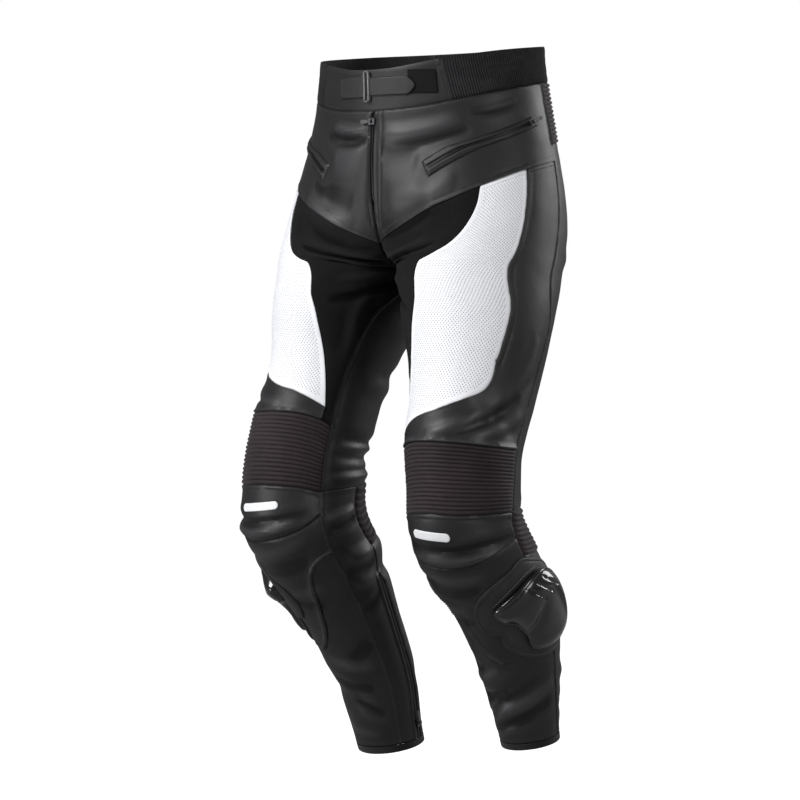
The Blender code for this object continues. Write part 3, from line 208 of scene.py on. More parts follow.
# The smaller creases: which leg (L, R or both), start and end on the sheet, how far the middle bows sideways,
# half the width, and the height in millimetres; a trough where it is negative.
CREASES = (
    # hip fronts: soft near-level folds between the waistband and the pocket, and below it
    ("R", 0.020, 0.100, 0.130, 0.090, 0.004, 0.0069, 3.1),
    ("R", 0.015, 0.112, 0.160, 0.104, 0.004, 0.0069, -3.1),
    ("R", 0.020, 0.126, 0.120, 0.128, 0.004, 0.0080, 2.7),
    ("R", 0.060, 0.160, 0.200, 0.146, 0.005, 0.0092, -3.4),
    ("R", 0.060, 0.176, 0.220, 0.158, 0.005, 0.0092, 2.7),
    ("L", 0.030, 0.130, 0.260, 0.104, 0.006, 0.0115, -4.1),
    ("L", 0.030, 0.108, 0.240, 0.088, 0.005, 0.0115, 2.4),
    ("L", 0.260, 0.078, 0.420, 0.060, 0.003, 0.0069, -2.7),
    ("L", 0.030, 0.182, 0.180, 0.166, 0.004, 0.0103, -3.4),
    ("L", 0.060, 0.160, 0.230, 0.150, 0.004, 0.0103, 2.5),
    # inner thigh: folds that radiate from the crotch
    ("B", 0.015, 0.215, 0.200, 0.208, 0.006, 0.0070, 3.7),
    ("B", 0.012, 0.228, 0.230, 0.226, 0.008, 0.0070, -4.1),
    ("B", 0.010, 0.243, 0.220, 0.246, 0.008, 0.0080, 3.4),
    ("B", 0.010, 0.262, 0.190, 0.276, 0.008, 0.0070, -3.7),
    ("B", 0.012, 0.280, 0.150, 0.312, 0.006, 0.0070, 3.1),
    ("B", 0.020, 0.305, 0.120, 0.350, 0.004, 0.0080, -2.7),
    ("L", 0.030, 0.236, 0.090, 0.222, 0.003, 0.0035, 2.2),
    ("L", 0.040, 0.246, 0.100, 0.236, 0.003, 0.0035, -2.2),
    ("B", 0.055, 0.330, 0.020, 0.430, 0.004, 0.0070, 2.5),
    # outer thigh above the knee panel: creases that run up and outwards
    ("B", 0.160, 0.494, 0.300, 0.470, 0.003, 0.0060, 2.3),
    ("B", 0.250, 0.488, 0.420, 0.440, 0.005, 0.0060, -2.9),
    ("B", 0.300, 0.492, 0.440, 0.456, 0.004, 0.0060, 2.6),
    ("B", 0.340, 0.470, 0.440, 0.410, 0.004, 0.0070, -2.3),
    ("B", 0.400, 0.440, 0.450, 0.370, 0.002, 0.0080, 2.0),
    # seat and back of the thigh
    ("B", 0.600, 0.265, 0.940, 0.285, 0.008, 0.0100, 3.1),
    ("B", 0.640, 0.282, 0.970, 0.300, 0.006, 0.0090, -3.1),
    ("B", 0.620, 0.318, 0.960, 0.340, 0.008, 0.0100, 2.5),
    ("B", 0.560, 0.400, 0.900, 0.430, 0.006, 0.0100, -2.5),
    ("B", 0.600, 0.425, 0.940, 0.452, 0.006, 0.0100, 2.0),
    ("B", 0.580, 0.505, 0.960, 0.530, 0.006, 0.0090, -2.8),
    ("B", 0.640, 0.520, 0.985, 0.545, 0.004, 0.0070, 2.2),
    ("B", 0.660, 0.566, 0.985, 0.580, 0.004, 0.0060, -2.2),
    # knee cup and the leather below it
    ("B", 0.030, 0.634, 0.420, 0.634, 0.010, 0.0065, -3.6),
    ("B", 0.060, 0.645, 0.400, 0.645, 0.011, 0.0050, 2.6),
    ("B", 0.040, 0.664, 0.300, 0.678, 0.008, 0.0060, 2.8),
    ("B", 0.060, 0.688, 0.260, 0.694, 0.005, 0.0060, -2.0),
    ("B", 0.060, 0.716, 0.180, 0.722, 0.004, 0.0070, 2.0),
    ("B", 0.090, 0.742, 0.190, 0.738, 0.004, 0.0070, -1.7),
    # calf, front of the shin and above the hem
    ("B", 0.900, 0.640, 0.985, 0.646, 0.003, 0.0060, 2.8),
    ("B", 0.896, 0.656, 0.988, 0.664, 0.003, 0.0060, -3.0),
    ("B", 0.890, 0.700, 0.975, 0.694, 0.003, 0.0070, 3.2),
    ("B", 0.880, 0.712, 0.985, 0.714, 0.003, 0.0060, -3.0),
    ("B", 0.895, 0.728, 0.980, 0.730, 0.003, 0.0060, 2.5),
    ("B", 0.905, 0.752, 0.985, 0.760, 0.003, 0.0080, -2.0),
    ("B", 0.020, 0.800, 0.120, 0.830, 0.004, 0.0090, -2.3),
    ("B", 0.030, 0.835, 0.200, 0.820, 0.004, 0.0090, 2.6),
    ("B", 0.060, 0.868, 0.220, 0.850, 0.004, 0.0080, -2.9),
    ("B", 0.040, 0.905, 0.160, 0.880, 0.003, 0.0070, -2.9),
    ("B", 0.080, 0.930, 0.240, 0.916, 0.003, 0.0070, 2.2),
    ("L", 0.080, 0.897, 0.420, 0.856, 0.004, 0.0110, 3.4),
    ("L", 0.050, 0.862, 0.220, 0.872, 0.004, 0.0090, -3.0),
    ("L", 0.060, 0.926, 0.400, 0.886, 0.004, 0.0090, -3.0),
    ("B", 0.480, 0.850, 0.700, 0.870, 0.004, 0.0090, 2.6),
    ("B", 0.500, 0.900, 0.760, 0.915, 0.004, 0.0090, -2.6),
)


def bell(place, middle, width):
    """1 at the middle, falling off smoothly to both sides."""
    return np.exp(-(((place - middle) / width) ** 2))


def crease_height(side, u, drop):
    """How far the smaller creases raise the cloth, with the low sway that all worn leather has."""
    height = np.zeros_like(u)
    x = (u - 0.5) * girth(side, drop)
    for legs, u0, drop0, u1, drop1, bow, half_width, peak in CREASES:
        if legs not in (side[0].upper(), "B"):
            continue
        start = np.array([(u0 - 0.5) * girth(side, drop0), drop0])
        run = np.array([(u1 - 0.5) * girth(side, drop1), drop1]) - start
        length = np.hypot(*run)
        along = ((x - start[0]) * run[0] + (drop - start[1]) * run[1]) / length**2
        hump = np.clip(4 * along * (1 - along), 0, 1)
        off = ((x - start[0]) * run[1] - (drop - start[1]) * run[0]) / length + bow * hump
        t = off / half_width
        shape = bell(t, 0, 1) - 0.3 * bell(t, 1.9, 1) - 0.3 * bell(t, -1.9, 1)
        height += 0.001 * peak * np.sqrt(hump) * shape
    flat_places = np.stack([x, drop], axis=1)
    for start, end, reach in STILL_PLACES:
        line = laid_flat(side, [start, end])
        height = height * np.clip((distance_to(flat_places, line, closed=False) - reach) / 0.012, 0, 1)
    return height


# No crease runs under the pocket zip, the knee bar or the calf zip's slider: start, end, and how far round it.
STILL_PLACES = (
    ((0.150, 0.139), (0.478, 0.089), 0.007), ((0.110, 0.622), (0.235, 0.627), 0.004),
    ((0.879, 0.915), (0.879, 0.935), 0.008),
)


def girth(side, drop):
    """Length of the cloth round the leg at a drop, for laying the form out flat."""
    stops, lengths = GIRTHS[side]
    return np.interp(drop, stops, lengths)


GIRTHS = {}


def column(rows, name, drop):
    """One column of a table of sections, as a smooth curve through its rows."""
    table = np.array(rows, float)
    knots = table[:, 0]
    values = table[:, COLUMNS.index(name)]
    rates = np.diff(values) / np.diff(knots)
    slopes = np.gradient(values, knots)
    # A row next to a level run stays level there, so that nothing swings past zero.
    slopes[:-1][rates == 0] = 0
    slopes[1:][rates == 0] = 0
    drop = np.clip(drop, knots[0], knots[-1])
    i = np.clip(np.searchsorted(knots, drop) - 1, 0, len(knots) - 2)
    step = knots[i + 1] - knots[i]
    s = (drop - knots[i]) / step
    through = values[i] * (1 + 2 * s) * (1 - s) ** 2 + values[i + 1] * s * s * (3 - 2 * s)
    return through + step * (slopes[i] * s * (1 - s) ** 2 - slopes[i + 1] * s * s * (1 - s))


def form(side, u, drop):
    """Points of the smooth form, without its folds."""
    rows = PELVIS_ROWS + LEG_ROWS[side]
    inner = column(rows, "inner", drop)
    # Above the crotch the two halves are open towards each other, by this much of a quarter turn at each end.
    opening = np.clip((CROTCH - drop) / (CROTCH - HIP), 0, 1) * np.pi / 2
    radius = (column(rows, "outer", drop) - inner) / (1 + np.cos(opening))
    angle = np.pi + opening + 2 * (np.pi - opening) * u + np.radians(column(rows, "twist", drop))
    across = inner + radius * (np.cos(opening) + np.cos(angle))
    depth = np.where(np.sin(angle) < 0, column(rows, "front", drop), column(rows, "back", drop))
    along = depth * np.sin(angle)
    pitch = np.radians(column(rows, "pitch", drop))
    # The centre lines run down and under the body, while the sides stay level.
    under = (1 - np.cos(opening)) ** CUT_ROUND - opening / (np.pi / 2)
    sag = (CROTCH - HIP) * under * np.cos(np.pi * u) ** 2
    x = across if side == "left" else -across
    y = column(rows, "centre_y", drop) + along * np.cos(pitch)
    z = along * np.sin(pitch) - column(rows, "level", drop) + sag * (drop > HIP)
    return np.stack([x, y, z], axis=-1)


def fold_height(u, drop):
    """How far the folds raise the cloth at each place."""
    height = np.zeros_like(u)
    for u0, drop0, u1, drop1, half_width, peak in FOLDS:
        run = np.array([(u1 - u0) * SHEET_WIDTH, drop1 - drop0])
        length = np.hypot(*run)
        dx = (u - u0) * SHEET_WIDTH
        dy = drop - drop0
        along = (dx * run[0] + dy * run[1]) / length**2
        off = (dx * run[1] - dy * run[0]) / length
        fade = np.clip(4 * along * (1 - along), 0, 1)
        height = height + peak * fade * bell(off, 0, half_width)
    return height


def outward(side, u, drop):
    """Unit normals of the smooth form, pointing out of the leg."""
    du = 2e-3
    dd = 1e-3
    across = form(side, u + du, drop) - form(side, u - du, drop)
    down = form(side, u, drop + dd) - form(side, u, drop - dd)
    normals = np.cross(down, across) if side == "left" else np.cross(across, down)
    return normals / np.linalg.norm(normals, axis=1)[:, None]


def sheet(side, places):
    """(points, outward normals) of the cloth's outer face at places on the pattern."""
    places = np.asarray(places, float)
    u = places[:, 0]
    drop = places[:, 1]
    normals = outward(side, u, drop)
    edge = (u < 1e-6) | (u > 1 - 1e-6)
    fork = edge & (np.abs(drop - CROTCH) < 1e-6)
    # The two edges of the inseam share one normal, and those of a centre seam stay in the middle plane.
    inseam = edge & (drop > CROTCH)
    normals[inseam] += outward(side, np.where(u < 0.5, 1.0, 0.0), drop)[inseam]
    normals[edge & (drop < CROTCH + 1e-6), 0] = 0.0
    normals[fork] = (-1.0 if side == "left" else 1.0, 0.0, -1.0)
    normals /= np.linalg.norm(normals, axis=1)[:, None]
    points = form(side, u, drop)
    calm = np.clip(np.minimum(u, 1 - u) * girth(side, drop) / 0.015, 0, 1)
    sway = np.array([noise.noise(Vector(p) * 14) + 0.5 * noise.noise(Vector(p) * 37) for p in points])
    below_waist = np.clip((drop - waist_seam(u)) / 0.02, 0, 1)
    raised = fold_height(u, drop) * (drop > HIP) + crease_height(side, u, drop) + 0.0007 * sway
    return points + normals * (raised * calm * below_waist)[:, None], normals


ON_LEG = {"left": lambda places: sheet("left", places), "right": lambda places: sheet("right", places)}


WAIST_SEAM_POINTS = (
    (0, 0.074), (0.13, 0.070), (0.25, 0.059), (0.37, 0.048), (0.56, 0.036), (0.80, 0.030), (1, 0.028),
)
HEM_SEAM = HEM - HEM_BAND - SEAM_GAP
ZIP_MIDDLE = (ZIP_FRONT + ZIP_BACK) / 2
# drops of the junctions down the inseam
INSEAM_STOPS = {
    "thigh": (CROTCH, 0.515),
    "knee": (0.515, 0.608),
    "cup": (0.608, 0.640),
    "upper": (0.640, 0.686),
    "lower": (0.686, HEM_SEAM),
}

# name: (points from one junction to the next). The curve through them is the seam.
SEAMS = {
    "waist_yoke": WAIST_SEAM_POINTS[:5],
    "fly": ((0, 0.074), (FLY_HALF, 0.084), (FLY_HALF, 0.120), (FLY_HALF, 0.152), (0, 0.163)),
    "front_tip": ((0, 0.163), (0, 0.195)),
    "crotch_front": ((0, 0.195), (0, CROTCH)),
    "crotch_back": ((1, 0.118), (1, 0.200), (1, CROTCH)),
    "yoke_low_inner": ((0, 0.195), (0.05, 0.186), (0.154, 0.173), (0.228, 0.168), (0.303, 0.163)),
    "yoke_low_middle": ((0.303, 0.163), (0.37, 0.158), (0.432, 0.153)),
    "yoke_low_outer": ((0.432, 0.153), (0.50, 0.147), (0.560, 0.141)),
    "side_rib": ((0.560, 0.036), (0.562, 0.118)),
    "side_small": ((0.562, 0.118), (0.560, 0.141)),
    "seat_top": ((0.562, 0.118), (0.78, 0.112), (1, 0.118)),
    "outseam_thigh": (
        (0.560, 0.141), (0.562, 0.190), (0.545, 0.260), (0.510, 0.330), (0.470, 0.410), (0.450, 0.497),
    ),
    "outseam_knee": ((0.450, 0.497), (0.436, 0.599)),
    "outseam_cup": ((0.436, 0.599), (0.425, 0.640)),
    "outseam_back_knee": ((0.425, 0.640), (0.425, 0.668)),
    "outseam_upper": ((0.425, 0.668), (0.426, 0.740), (0.432, 0.817)),
    "outseam_lower": ((0.432, 0.817), (0.445, 0.880), (0.470, HEM_SEAM)),
    "inset_inner": (
        (0.303, 0.163), (0.305, 0.190), (0.285, 0.228), (0.253, 0.268), (0.218, 0.303), (0.178, 0.334),
        (0.138, 0.360), (0.104, 0.392), (0.070, 0.428), (0.045, 0.460), (0.028, 0.490),
    ),
    "inset_outer": (
        (0.432, 0.153), (0.440, 0.205), (0.432, 0.265), (0.400, 0.322), (0.362, 0.365), (0.336, 0.405),
    ),
    "inset_bottom": (
        (0.336, 0.405), (0.330, 0.423), (0.316, 0.437), (0.290, 0.446), (0.244, 0.456), (0.188, 0.466),
        (0.126, 0.473), (0.075, 0.481), (0.028, 0.490),
    ),
    "inset_stub": ((0.028, 0.490), (0.030, 0.508)),
    "knee_top_inner": ((0, 0.515), (0.030, 0.508)),
    "knee_top": ((0.030, 0.508), (0.100, 0.503), (0.250, 0.502), (0.364, 0.500), (0.450, 0.497)),
    "knee_bottom": ((0, 0.608), (0.06, 0.600), (0.16, 0.597), (0.26, 0.599), (0.35, 0.599), (0.436, 0.599)),
    "cup_low": (
        (0, 0.640), (0.06, 0.655), (0.144, 0.664), (0.216, 0.666), (0.270, 0.663), (0.33, 0.656), (0.425, 0.640),
    ),
    "shin_curve": (
        (0, 0.686), (0.050, 0.693), (0.084, 0.707), (0.101, 0.727), (0.120, 0.755), (0.140, 0.778), (0.168, 0.796),
        (0.205, 0.808),
    ),
    "shin_low": ((0.205, 0.808), (0.270, 0.808), (0.350, 0.815), (0.432, 0.817)),
    "back_knee_top": ((0.436, 0.599), (0.60, 0.596), (0.75, 0.600), (0.885, 0.606)),
    "back_knee_seam": ((0.885, 0.606), (1, 0.608)),
    "back_knee_low": ((0.425, 0.668), (0.60, 0.684), (0.75, 0.694), (0.872, 0.698)),
    "back_knee_side": ((0.885, 0.606), (0.888, 0.650), (0.872, 0.698)),
    "calf_join": ((0.872, 0.698), (ZIP_MIDDLE, ZIP_TOP)),
    "zip_front": (
        (ZIP_MIDDLE, ZIP_TOP), (ZIP_FRONT - 0.002, ZIP_TOP + 0.010), (ZIP_FRONT, 0.850),
        (ZIP_FRONT + 0.006, HEM_SEAM),
    ),
    "zip_back": (
        (ZIP_MIDDLE, ZIP_TOP), (ZIP_BACK + 0.002, ZIP_TOP + 0.010), (ZIP_BACK, 0.850),
        (ZIP_BACK - 0.006, HEM_SEAM),
    ),
    "hem_shin": ((0, HEM_SEAM), (0.470, HEM_SEAM)),
    "hem_calf": ((0.470, HEM_SEAM), (ZIP_BACK - 0.006, HEM_SEAM)),
    "hem_zip": ((ZIP_BACK - 0.006, HEM_SEAM), (ZIP_FRONT + 0.006, HEM_SEAM)),
    "hem_inner": ((ZIP_FRONT + 0.006, HEM_SEAM), (1, HEM_SEAM)),
}
for stop_name, (stop_from, stop_to) in INSEAM_STOPS.items():
    SEAMS["inseam_front_" + stop_name] = ((0, stop_from), (0, stop_to))
    SEAMS["inseam_back_" + stop_name] = ((1, stop_from), (1, stop_to))

# A panel's outline, as seams in order; "-" walks a seam backwards.
PANELS = {
    "yoke": ("waist_yoke", "side_rib", "side_small", "-yoke_low_outer", "-yoke_low_middle", "-yoke_low_inner",
             "-front_tip", "-fly"),
    "inner_thigh": ("yoke_low_inner", "inset_inner", "inset_stub", "-knee_top_inner", "-inseam_front_thigh",
                    "-crotch_front"),
    "thigh_inset": ("yoke_low_middle", "inset_outer", "inset_bottom", "-inset_inner"),
    "outer_thigh": ("yoke_low_outer", "outseam_thigh", "-knee_top", "-inset_stub", "-inset_bottom", "-inset_outer"),
    "seat": ("seat_top", "crotch_back", "inseam_back_thigh", "inseam_back_knee", "-back_knee_seam",
             "-back_knee_top", "-outseam_knee", "-outseam_thigh", "-side_small"),
    "knee_cup": ("knee_bottom", "outseam_cup", "-cup_low", "-inseam_front_cup"),
    "shin_upper": ("cup_low", "outseam_back_knee", "outseam_upper", "-shin_low", "-shin_curve",
                   "-inseam_front_upper"),
    "shin_lower": ("shin_curve", "shin_low", "outseam_lower", "-hem_shin", "-inseam_front_lower"),
    "calf_outer": ("back_knee_low", "calf_join", "zip_back", "-hem_calf", "-outseam_lower", "-outseam_upper"),
    "calf_inner": ("back_knee_seam", "inseam_back_cup", "inseam_back_upper", "inseam_back_lower", "-hem_inner",
                   "-zip_front", "-calf_join", "-back_knee_side"),
    "calf_zip": ("zip_front", "-hem_zip", "-zip_back"),
}


def curve_through(points, closed=False, steps=24):
    """Dense points on the smooth curve through the given ones."""
    points = np.array(points, float)
    if len(points) == 2 and not closed:
        s = np.linspace(0, 1, 2 * steps)[:, None]
        return points[0] * (1 - s) + points[1] * s
    if closed:
        padded = np.vstack([points[-1], points, points[:2]])
    else:
        padded = np.vstack([2 * points[0] - points[1], points, 2 * points[-1] - points[-2]])
    dense = []
    for a, b, c, d in zip(padded, padded[1:], padded[2:], padded[3:], strict=False):
        for s in np.arange(steps) / steps:
            dense.append(
                0.5 * (2 * b + (c - a) * s + (2 * a - 5 * b + 4 * c - d) * s**2 + (3 * b - a - 3 * c + d) * s**3)
            )
    if not closed:
        dense.append(points[-1])
    return np.array(dense)


def run_lengths(points):
    """How far along a run of points each one lies."""
    return np.concatenate([[0], np.cumsum(np.linalg.norm(np.diff(points, axis=0), axis=1))])


def at_lengths(stops, lengths, points):
    return np.stack([np.interp(stops, lengths, points[:, i]) for i in range(points.shape[1])], axis=1)


def spaced(side, dense, step=SEAM_STEP, closed=False):
    """The dense pattern points thinned to even steps over the cloth."""
    if closed:
        dense = np.vstack([dense, dense[:1]])
    lengths = run_lengths(form(side, dense[:, 0], dense[:, 1]))
    count = max(1, round(lengths[-1] / step))
    places = at_lengths(np.linspace(0, lengths[-1], count + 1), lengths, dense)
    return places[:-1] if closed else places


def seam_places(side):
    """Every seam of one side, as places on its pattern sheet. Both edges of the inseam get the same stops."""
    found = {}
    for name, points in SEAMS.items():
        found[name] = spaced(side, curve_through(points))
    for name in INSEAM_STOPS:
        drops = found["inseam_front_" + name][:, 1]
        found["inseam_back_" + name] = np.stack([np.ones_like(drops), drops], axis=1)
    return found


def outline(seams, walk):
    """The closed outline of a panel, without repeating the junctions."""
    places = []
    for name in walk:
        run = seams[name[1:]][::-1] if name.startswith("-") else seams[name]
        places.extend(run[:-1])
    return np.array(places)


def straight(start, end):
    """A straight line on the sheet in metres: its ends, its length, and the directions along it and beside it."""
    a = np.array([start[0] * SHEET_WIDTH, start[1]])
    b = np.array([end[0] * SHEET_WIDTH, end[1]])
    length = np.hypot(*(b - a))
    ahead = (b - a) / length
    return a, b, length, ahead, np.array([-ahead[1], ahead[0]])


def strip_outline(start, end, half, ends=9):
    """A straight strip with round ends, as places on the pattern sheet."""
    a, b, length, ahead, aside = straight(start, end)
    middle = max(2, round((length - 2 * half) / SEAM_STEP))
    stations = np.linspace(half, length - half, middle + 1)
    points = [a + ahead * s + aside * half for s in stations]
    for turn in np.linspace(math.pi / 2, -math.pi / 2, ends + 2)[1:-1]:
        points.append(b - ahead * half + half * (ahead * math.cos(turn) + aside * math.sin(turn)))
    points += [a + ahead * s - aside * half for s in stations[::-1]]
    for turn in np.linspace(-math.pi / 2, -3 * math.pi / 2, ends + 2)[1:-1]:
        points.append(a + ahead * half + half * (ahead * math.cos(turn) + aside * math.sin(turn)))
    return np.array([(x / SHEET_WIDTH, y) for x, y in points])


def laid_flat(side, places):
    """Pattern places as lengths on the flat cloth."""
    places = np.asarray(places, float)
    return np.stack([(places[:, 0] - 0.5) * girth(side, places[:, 1]), places[:, 1]], axis=1)


def from_flat(side, points):
    return np.stack([points[:, 0] / girth(side, points[:, 1]) + 0.5, points[:, 1]], axis=1)


def inside(points, loop):
    """Which flat points lie in a flat closed outline."""
    x, y = points[:, 0], points[:, 1]
    within = np.zeros(len(points), bool)
    for (x0, y0), (x1, y1) in zip(loop, np.roll(loop, -1, axis=0), strict=True):
        crosses = (y0 > y) != (y1 > y)
        with np.errstate(divide="ignore", invalid="ignore"):
            at = x0 + (y - y0) * (x1 - x0) / (y1 - y0)
        within ^= crosses & (x < at)
    return within


def distance_to(points, loop, closed=True):
    """How far flat points lie from a flat line."""
    nearest = np.full(len(points), np.inf)
    ends = np.roll(loop, -1, axis=0) if closed else loop[1:]
    for a, b in zip(loop, ends, strict=False):
        run = b - a
        s = np.clip(((points - a) @ run) / max(run @ run, 1e-12), 0, 1)
        nearest = np.minimum(nearest, np.linalg.norm(points - a - s[:, None] * run, axis=1))
    return nearest


WAIST_TOP_POINTS = (
    (0, 0.018), (0.076, 0.016), (0.200, 0.006), (0.380, -0.006), (0.620, -0.016), (0.80, -0.020), (1, -0.022),
)


def waist_seam(u):
    """Drop of the waistband's lower edge at a signed u."""
    dense = curve_through(WAIST_SEAM_POINTS)
    return np.interp(np.where(u > 1, 2 - u, np.abs(u)), dense[:, 0], dense[:, 1])


def waist_top(u):
    dense = curve_through(WAIST_TOP_POINTS)
    return np.interp(np.where(u > 1, 2 - u, np.abs(u)), dense[:, 0], dense[:, 1])


# ---- finishes of the leather and the cloths
# Cowhide with a fine pebbled grain and a soft satin finish, matte stretch cloth, ribbed stretch, knit elastic.
# The grain, the slow change of tone and the painted shade in seams and hollows are shared groups.
def effect_group(name, inputs, outputs):
    """An empty node group with its sockets: inputs are (name, kind, value), outputs (name, kind)."""
    group = bpy.data.node_groups.new(name, "ShaderNodeTree")
    for label, kind, value in inputs:
        socket = group.interface.new_socket(label, in_out="INPUT", socket_type=kind)
        socket.default_value = value
    for label, kind in outputs:
        group.interface.new_socket(label, in_out="OUTPUT", socket_type=kind)
    ends = group.nodes.new("NodeGroupInput"), group.nodes.new("NodeGroupOutput")
    return group, ends[0].outputs, ends[1].inputs


def node(tree, kind, settings=(), values=(), links=()):
    """One node of a tree: settings are its attributes, values its sockets' numbers, links what feeds its sockets."""
    made = tree.nodes.new("ShaderNode" + kind)
    for key, value in settings:
        setattr(made, key, value)
    for key, value in values:
        made.inputs[key].default_value = value
    for key, source in links:
        tree.links.new(source, made.inputs[key])
    return made.outputs


def math_node(tree, operation, first, second=None, third=None, clamp=False):
    values, links = [], []
    for key, value in ((0, first), (1, second), (2, third)):
        if isinstance(value, (int, float)):
            values.append((key, value))
        elif value is not None:
            links.append((key, value))
    return node(tree, "Math", [("operation", operation), ("use_clamp", clamp)], values, links)[0]


def ranged(tree, value, low, high, to_low=0.0, to_high=1.0):
    """A value carried from one range to another and held inside it."""
    values = [("From Min", low), ("From Max", high), ("To Min", to_low), ("To Max", to_high)]
    return node(tree, "MapRange", [], values, [("Value", value)])[0]


def mixed_colour(tree, share, first, second):
    """Two colours mixed; the second may be a plain colour."""
    fixed, links = ([("B", second)], []) if isinstance(second, tuple) else ([], [("B", second)])
    return node(tree, "Mix", [("data_type", "RGBA")], fixed, [("Factor", share), ("A", first), *links])["Result"]


def darkened(tree, share, colour, by):
    """A colour multiplied by another where the share says so."""
    return node(tree, "Mix", [("data_type", "RGBA"), ("blend_type", "MULTIPLY")], [("B", (*by, 1))],
                [("Factor", share), ("A", colour)])["Result"]


# Grain: cells about a millimetre across, with fine wrinkles between groups of them.
grain, given, out = effect_group(
    "pebbled grain",
    [("Cells per metre", "NodeSocketFloat", 900.0), ("Wrinkles per metre", "NodeSocketFloat", 120.0)],
    [("Height", "NodeSocketFloat"), ("Valley", "NodeSocketFloat")],
)
place = node(grain, "TexCoord")["Object"]
bend = node(grain, "TexNoise", [], [("Detail", 3.0)], [("Vector", place), ("Scale", given["Wrinkles per metre"])])[0]
cell = node(grain, "TexVoronoi", [("feature", "DISTANCE_TO_EDGE")], [("Randomness", 0.9)],
            [("Vector", place), ("Scale", given["Cells per metre"])])["Distance"]
dome = math_node(grain, "SMOOTH_MIN", cell, 0.32, 0.2)
height = math_node(grain, "MULTIPLY_ADD", bend, 1.1, dome)
grain.links.new(height, out["Height"])
grain.links.new(ranged(grain, cell, 0.0, 0.14, 1.0, 0.0), out["Valley"])

# Tone: broad, faint patches of lighter and darker dye, and a finer mottle.
tone, given, out = effect_group(
    "uneven dye",
    [("Deep", "NodeSocketColor", (0.01, 0.01, 0.01, 1)), ("Worn", "NodeSocketColor", (0.03, 0.03, 0.03, 1)),
     ("Patches per metre", "NodeSocketFloat", 11.0)],
    [("Colour", "NodeSocketColor"), ("Patch", "NodeSocketFloat")],
)
place = node(tone, "TexCoord")["Object"]
patch = node(tone, "TexNoise", [], [("Detail", 5.0), ("Roughness", 0.6)],
             [("Vector", place), ("Scale", given["Patches per metre"])])[0]
spread = ranged(tone, patch, 0.32, 0.70)
tone.links.new(mixed_colour(tone, spread, given["Deep"], given["Worn"]), out["Colour"])
tone.links.new(spread, out["Patch"])

# Crests and hollows: the mesh carries how far each point stands up, and crests are rubbed lighter.
# Seams, crease troughs and rib valleys are darkened: painted shade, with some dirt.
rub_and_shade, given, out = effect_group(
    "rubbed crests and painted hollow shade",
    [("Colour", "NodeSocketColor", (0, 0, 0, 1)), ("Rubbed", "NodeSocketColor", (0.06, 0.06, 0.06, 1)),
     ("Seam", "NodeSocketColor", (0.004, 0.004, 0.004, 1)), ("Amount", "NodeSocketFloat", 0.5)],
    [("Colour", "NodeSocketColor"), ("Crest", "NodeSocketFloat")],
)
stands = node(rub_and_shade, "Attribute", [("attribute_name", "crest")])["Fac"]
high = ranged(rub_and_shade, stands, 0.3, 2.6)
share = math_node(rub_and_shade, "MULTIPLY", high, given["Amount"], clamp=True)
# Painted shade: the deeper a point lies, the more it takes the hollow shade colour.
low = ranged(rub_and_shade, stands, -0.35, -1.2)
crests = mixed_colour(rub_and_shade, share, given["Colour"], given["Rubbed"])
rub_and_shade.links.new(mixed_colour(rub_and_shade, low, crests, given["Seam"]), out["Colour"])
rub_and_shade.links.new(high, out["Crest"])

# Weave: fine cross threads for the stretch cloth, tapes and bindings.
weave, given, out = effect_group(
    "fine weave",
    [("Threads per metre", "NodeSocketFloat", 1400.0)],
    [("Height", "NodeSocketFloat"), ("Thread", "NodeSocketFloat")],
)
place = node(weave, "UVMap", [("uv_map", "cut")])[0]
threads = []
for direction in ("X", "Y"):
    threads.append(node(weave, "TexWave", [("bands_direction", direction)], [("Distortion", 0.8), ("Detail", 1.0)],
                        [("Vector", place),
                         ("Scale", math_node(weave, "DIVIDE", given["Threads per metre"], 6.283))])["Fac"])
crossed = math_node(weave, "MULTIPLY", threads[0], threads[1])
weave.links.new(crossed, out["Height"])
fuzz = node(weave, "TexNoise", [], [("Scale", 700.0), ("Detail", 2.0)], [("Vector", place)])[0]
weave.links.new(fuzz, out["Thread"])


def placed(tree, group, values=(), links=()):
    made = tree.nodes.new("ShaderNodeGroup")
    made.node_tree = group
    for key, value in values:
        made.inputs[key].default_value = value
    for key, source in links:
        tree.links.new(source, made.inputs[key])
    return made.outputs


def new_finish(name, **constants):
    """A material with its Principled shader; constants are the shader's own numbers."""
    made = bpy.data.materials.new(name)
    made.use_nodes = True
    shader = made.node_tree.nodes["Principled BSDF"]
    for key, value in constants.items():
        shader.inputs[key.replace("_", " ")].default_value = value
    return made, made.node_tree, shader.inputs


def bump(tree, height, strength, depth, into):
    normal = node(tree, "Bump", [], [("Strength", strength), ("Distance", depth)], [("Height", height)])[0]
    tree.links.new(normal, into["Normal"])


# seam is the colour of the painted shade in seams and hollows; rubbed is that of worn crests.
def leather_finish(name, deep, worn, rubbed, seam, roughness, amount=0.5, grain_depth=0.00016):
    made, tree, shader = new_finish(name, Specular_IOR_Level=0.34)
    dye = placed(tree, tone, [("Deep", (*deep, 1)), ("Worn", (*worn, 1))])
    top = placed(tree, rub_and_shade, [("Rubbed", (*rubbed, 1)), ("Seam", (*seam, 1)), ("Amount", amount)],
                 [("Colour", dye["Colour"])])
    pebbles = placed(tree, grain)
    pores = darkened(tree, math_node(tree, "MULTIPLY", pebbles["Valley"], 0.5), top["Colour"], (0.45, 0.45, 0.45))
    tree.links.new(pores, shader["Base Color"])
    gloss = ranged(tree, dye["Patch"], 0.0, 1.0, roughness + 0.06, roughness - 0.05)
    gloss = math_node(tree, "MULTIPLY_ADD", pebbles["Valley"], 0.12, gloss)
    tree.links.new(gloss, shader["Roughness"])
    bump(tree, pebbles["Height"], 0.55, grain_depth, shader)
    return made


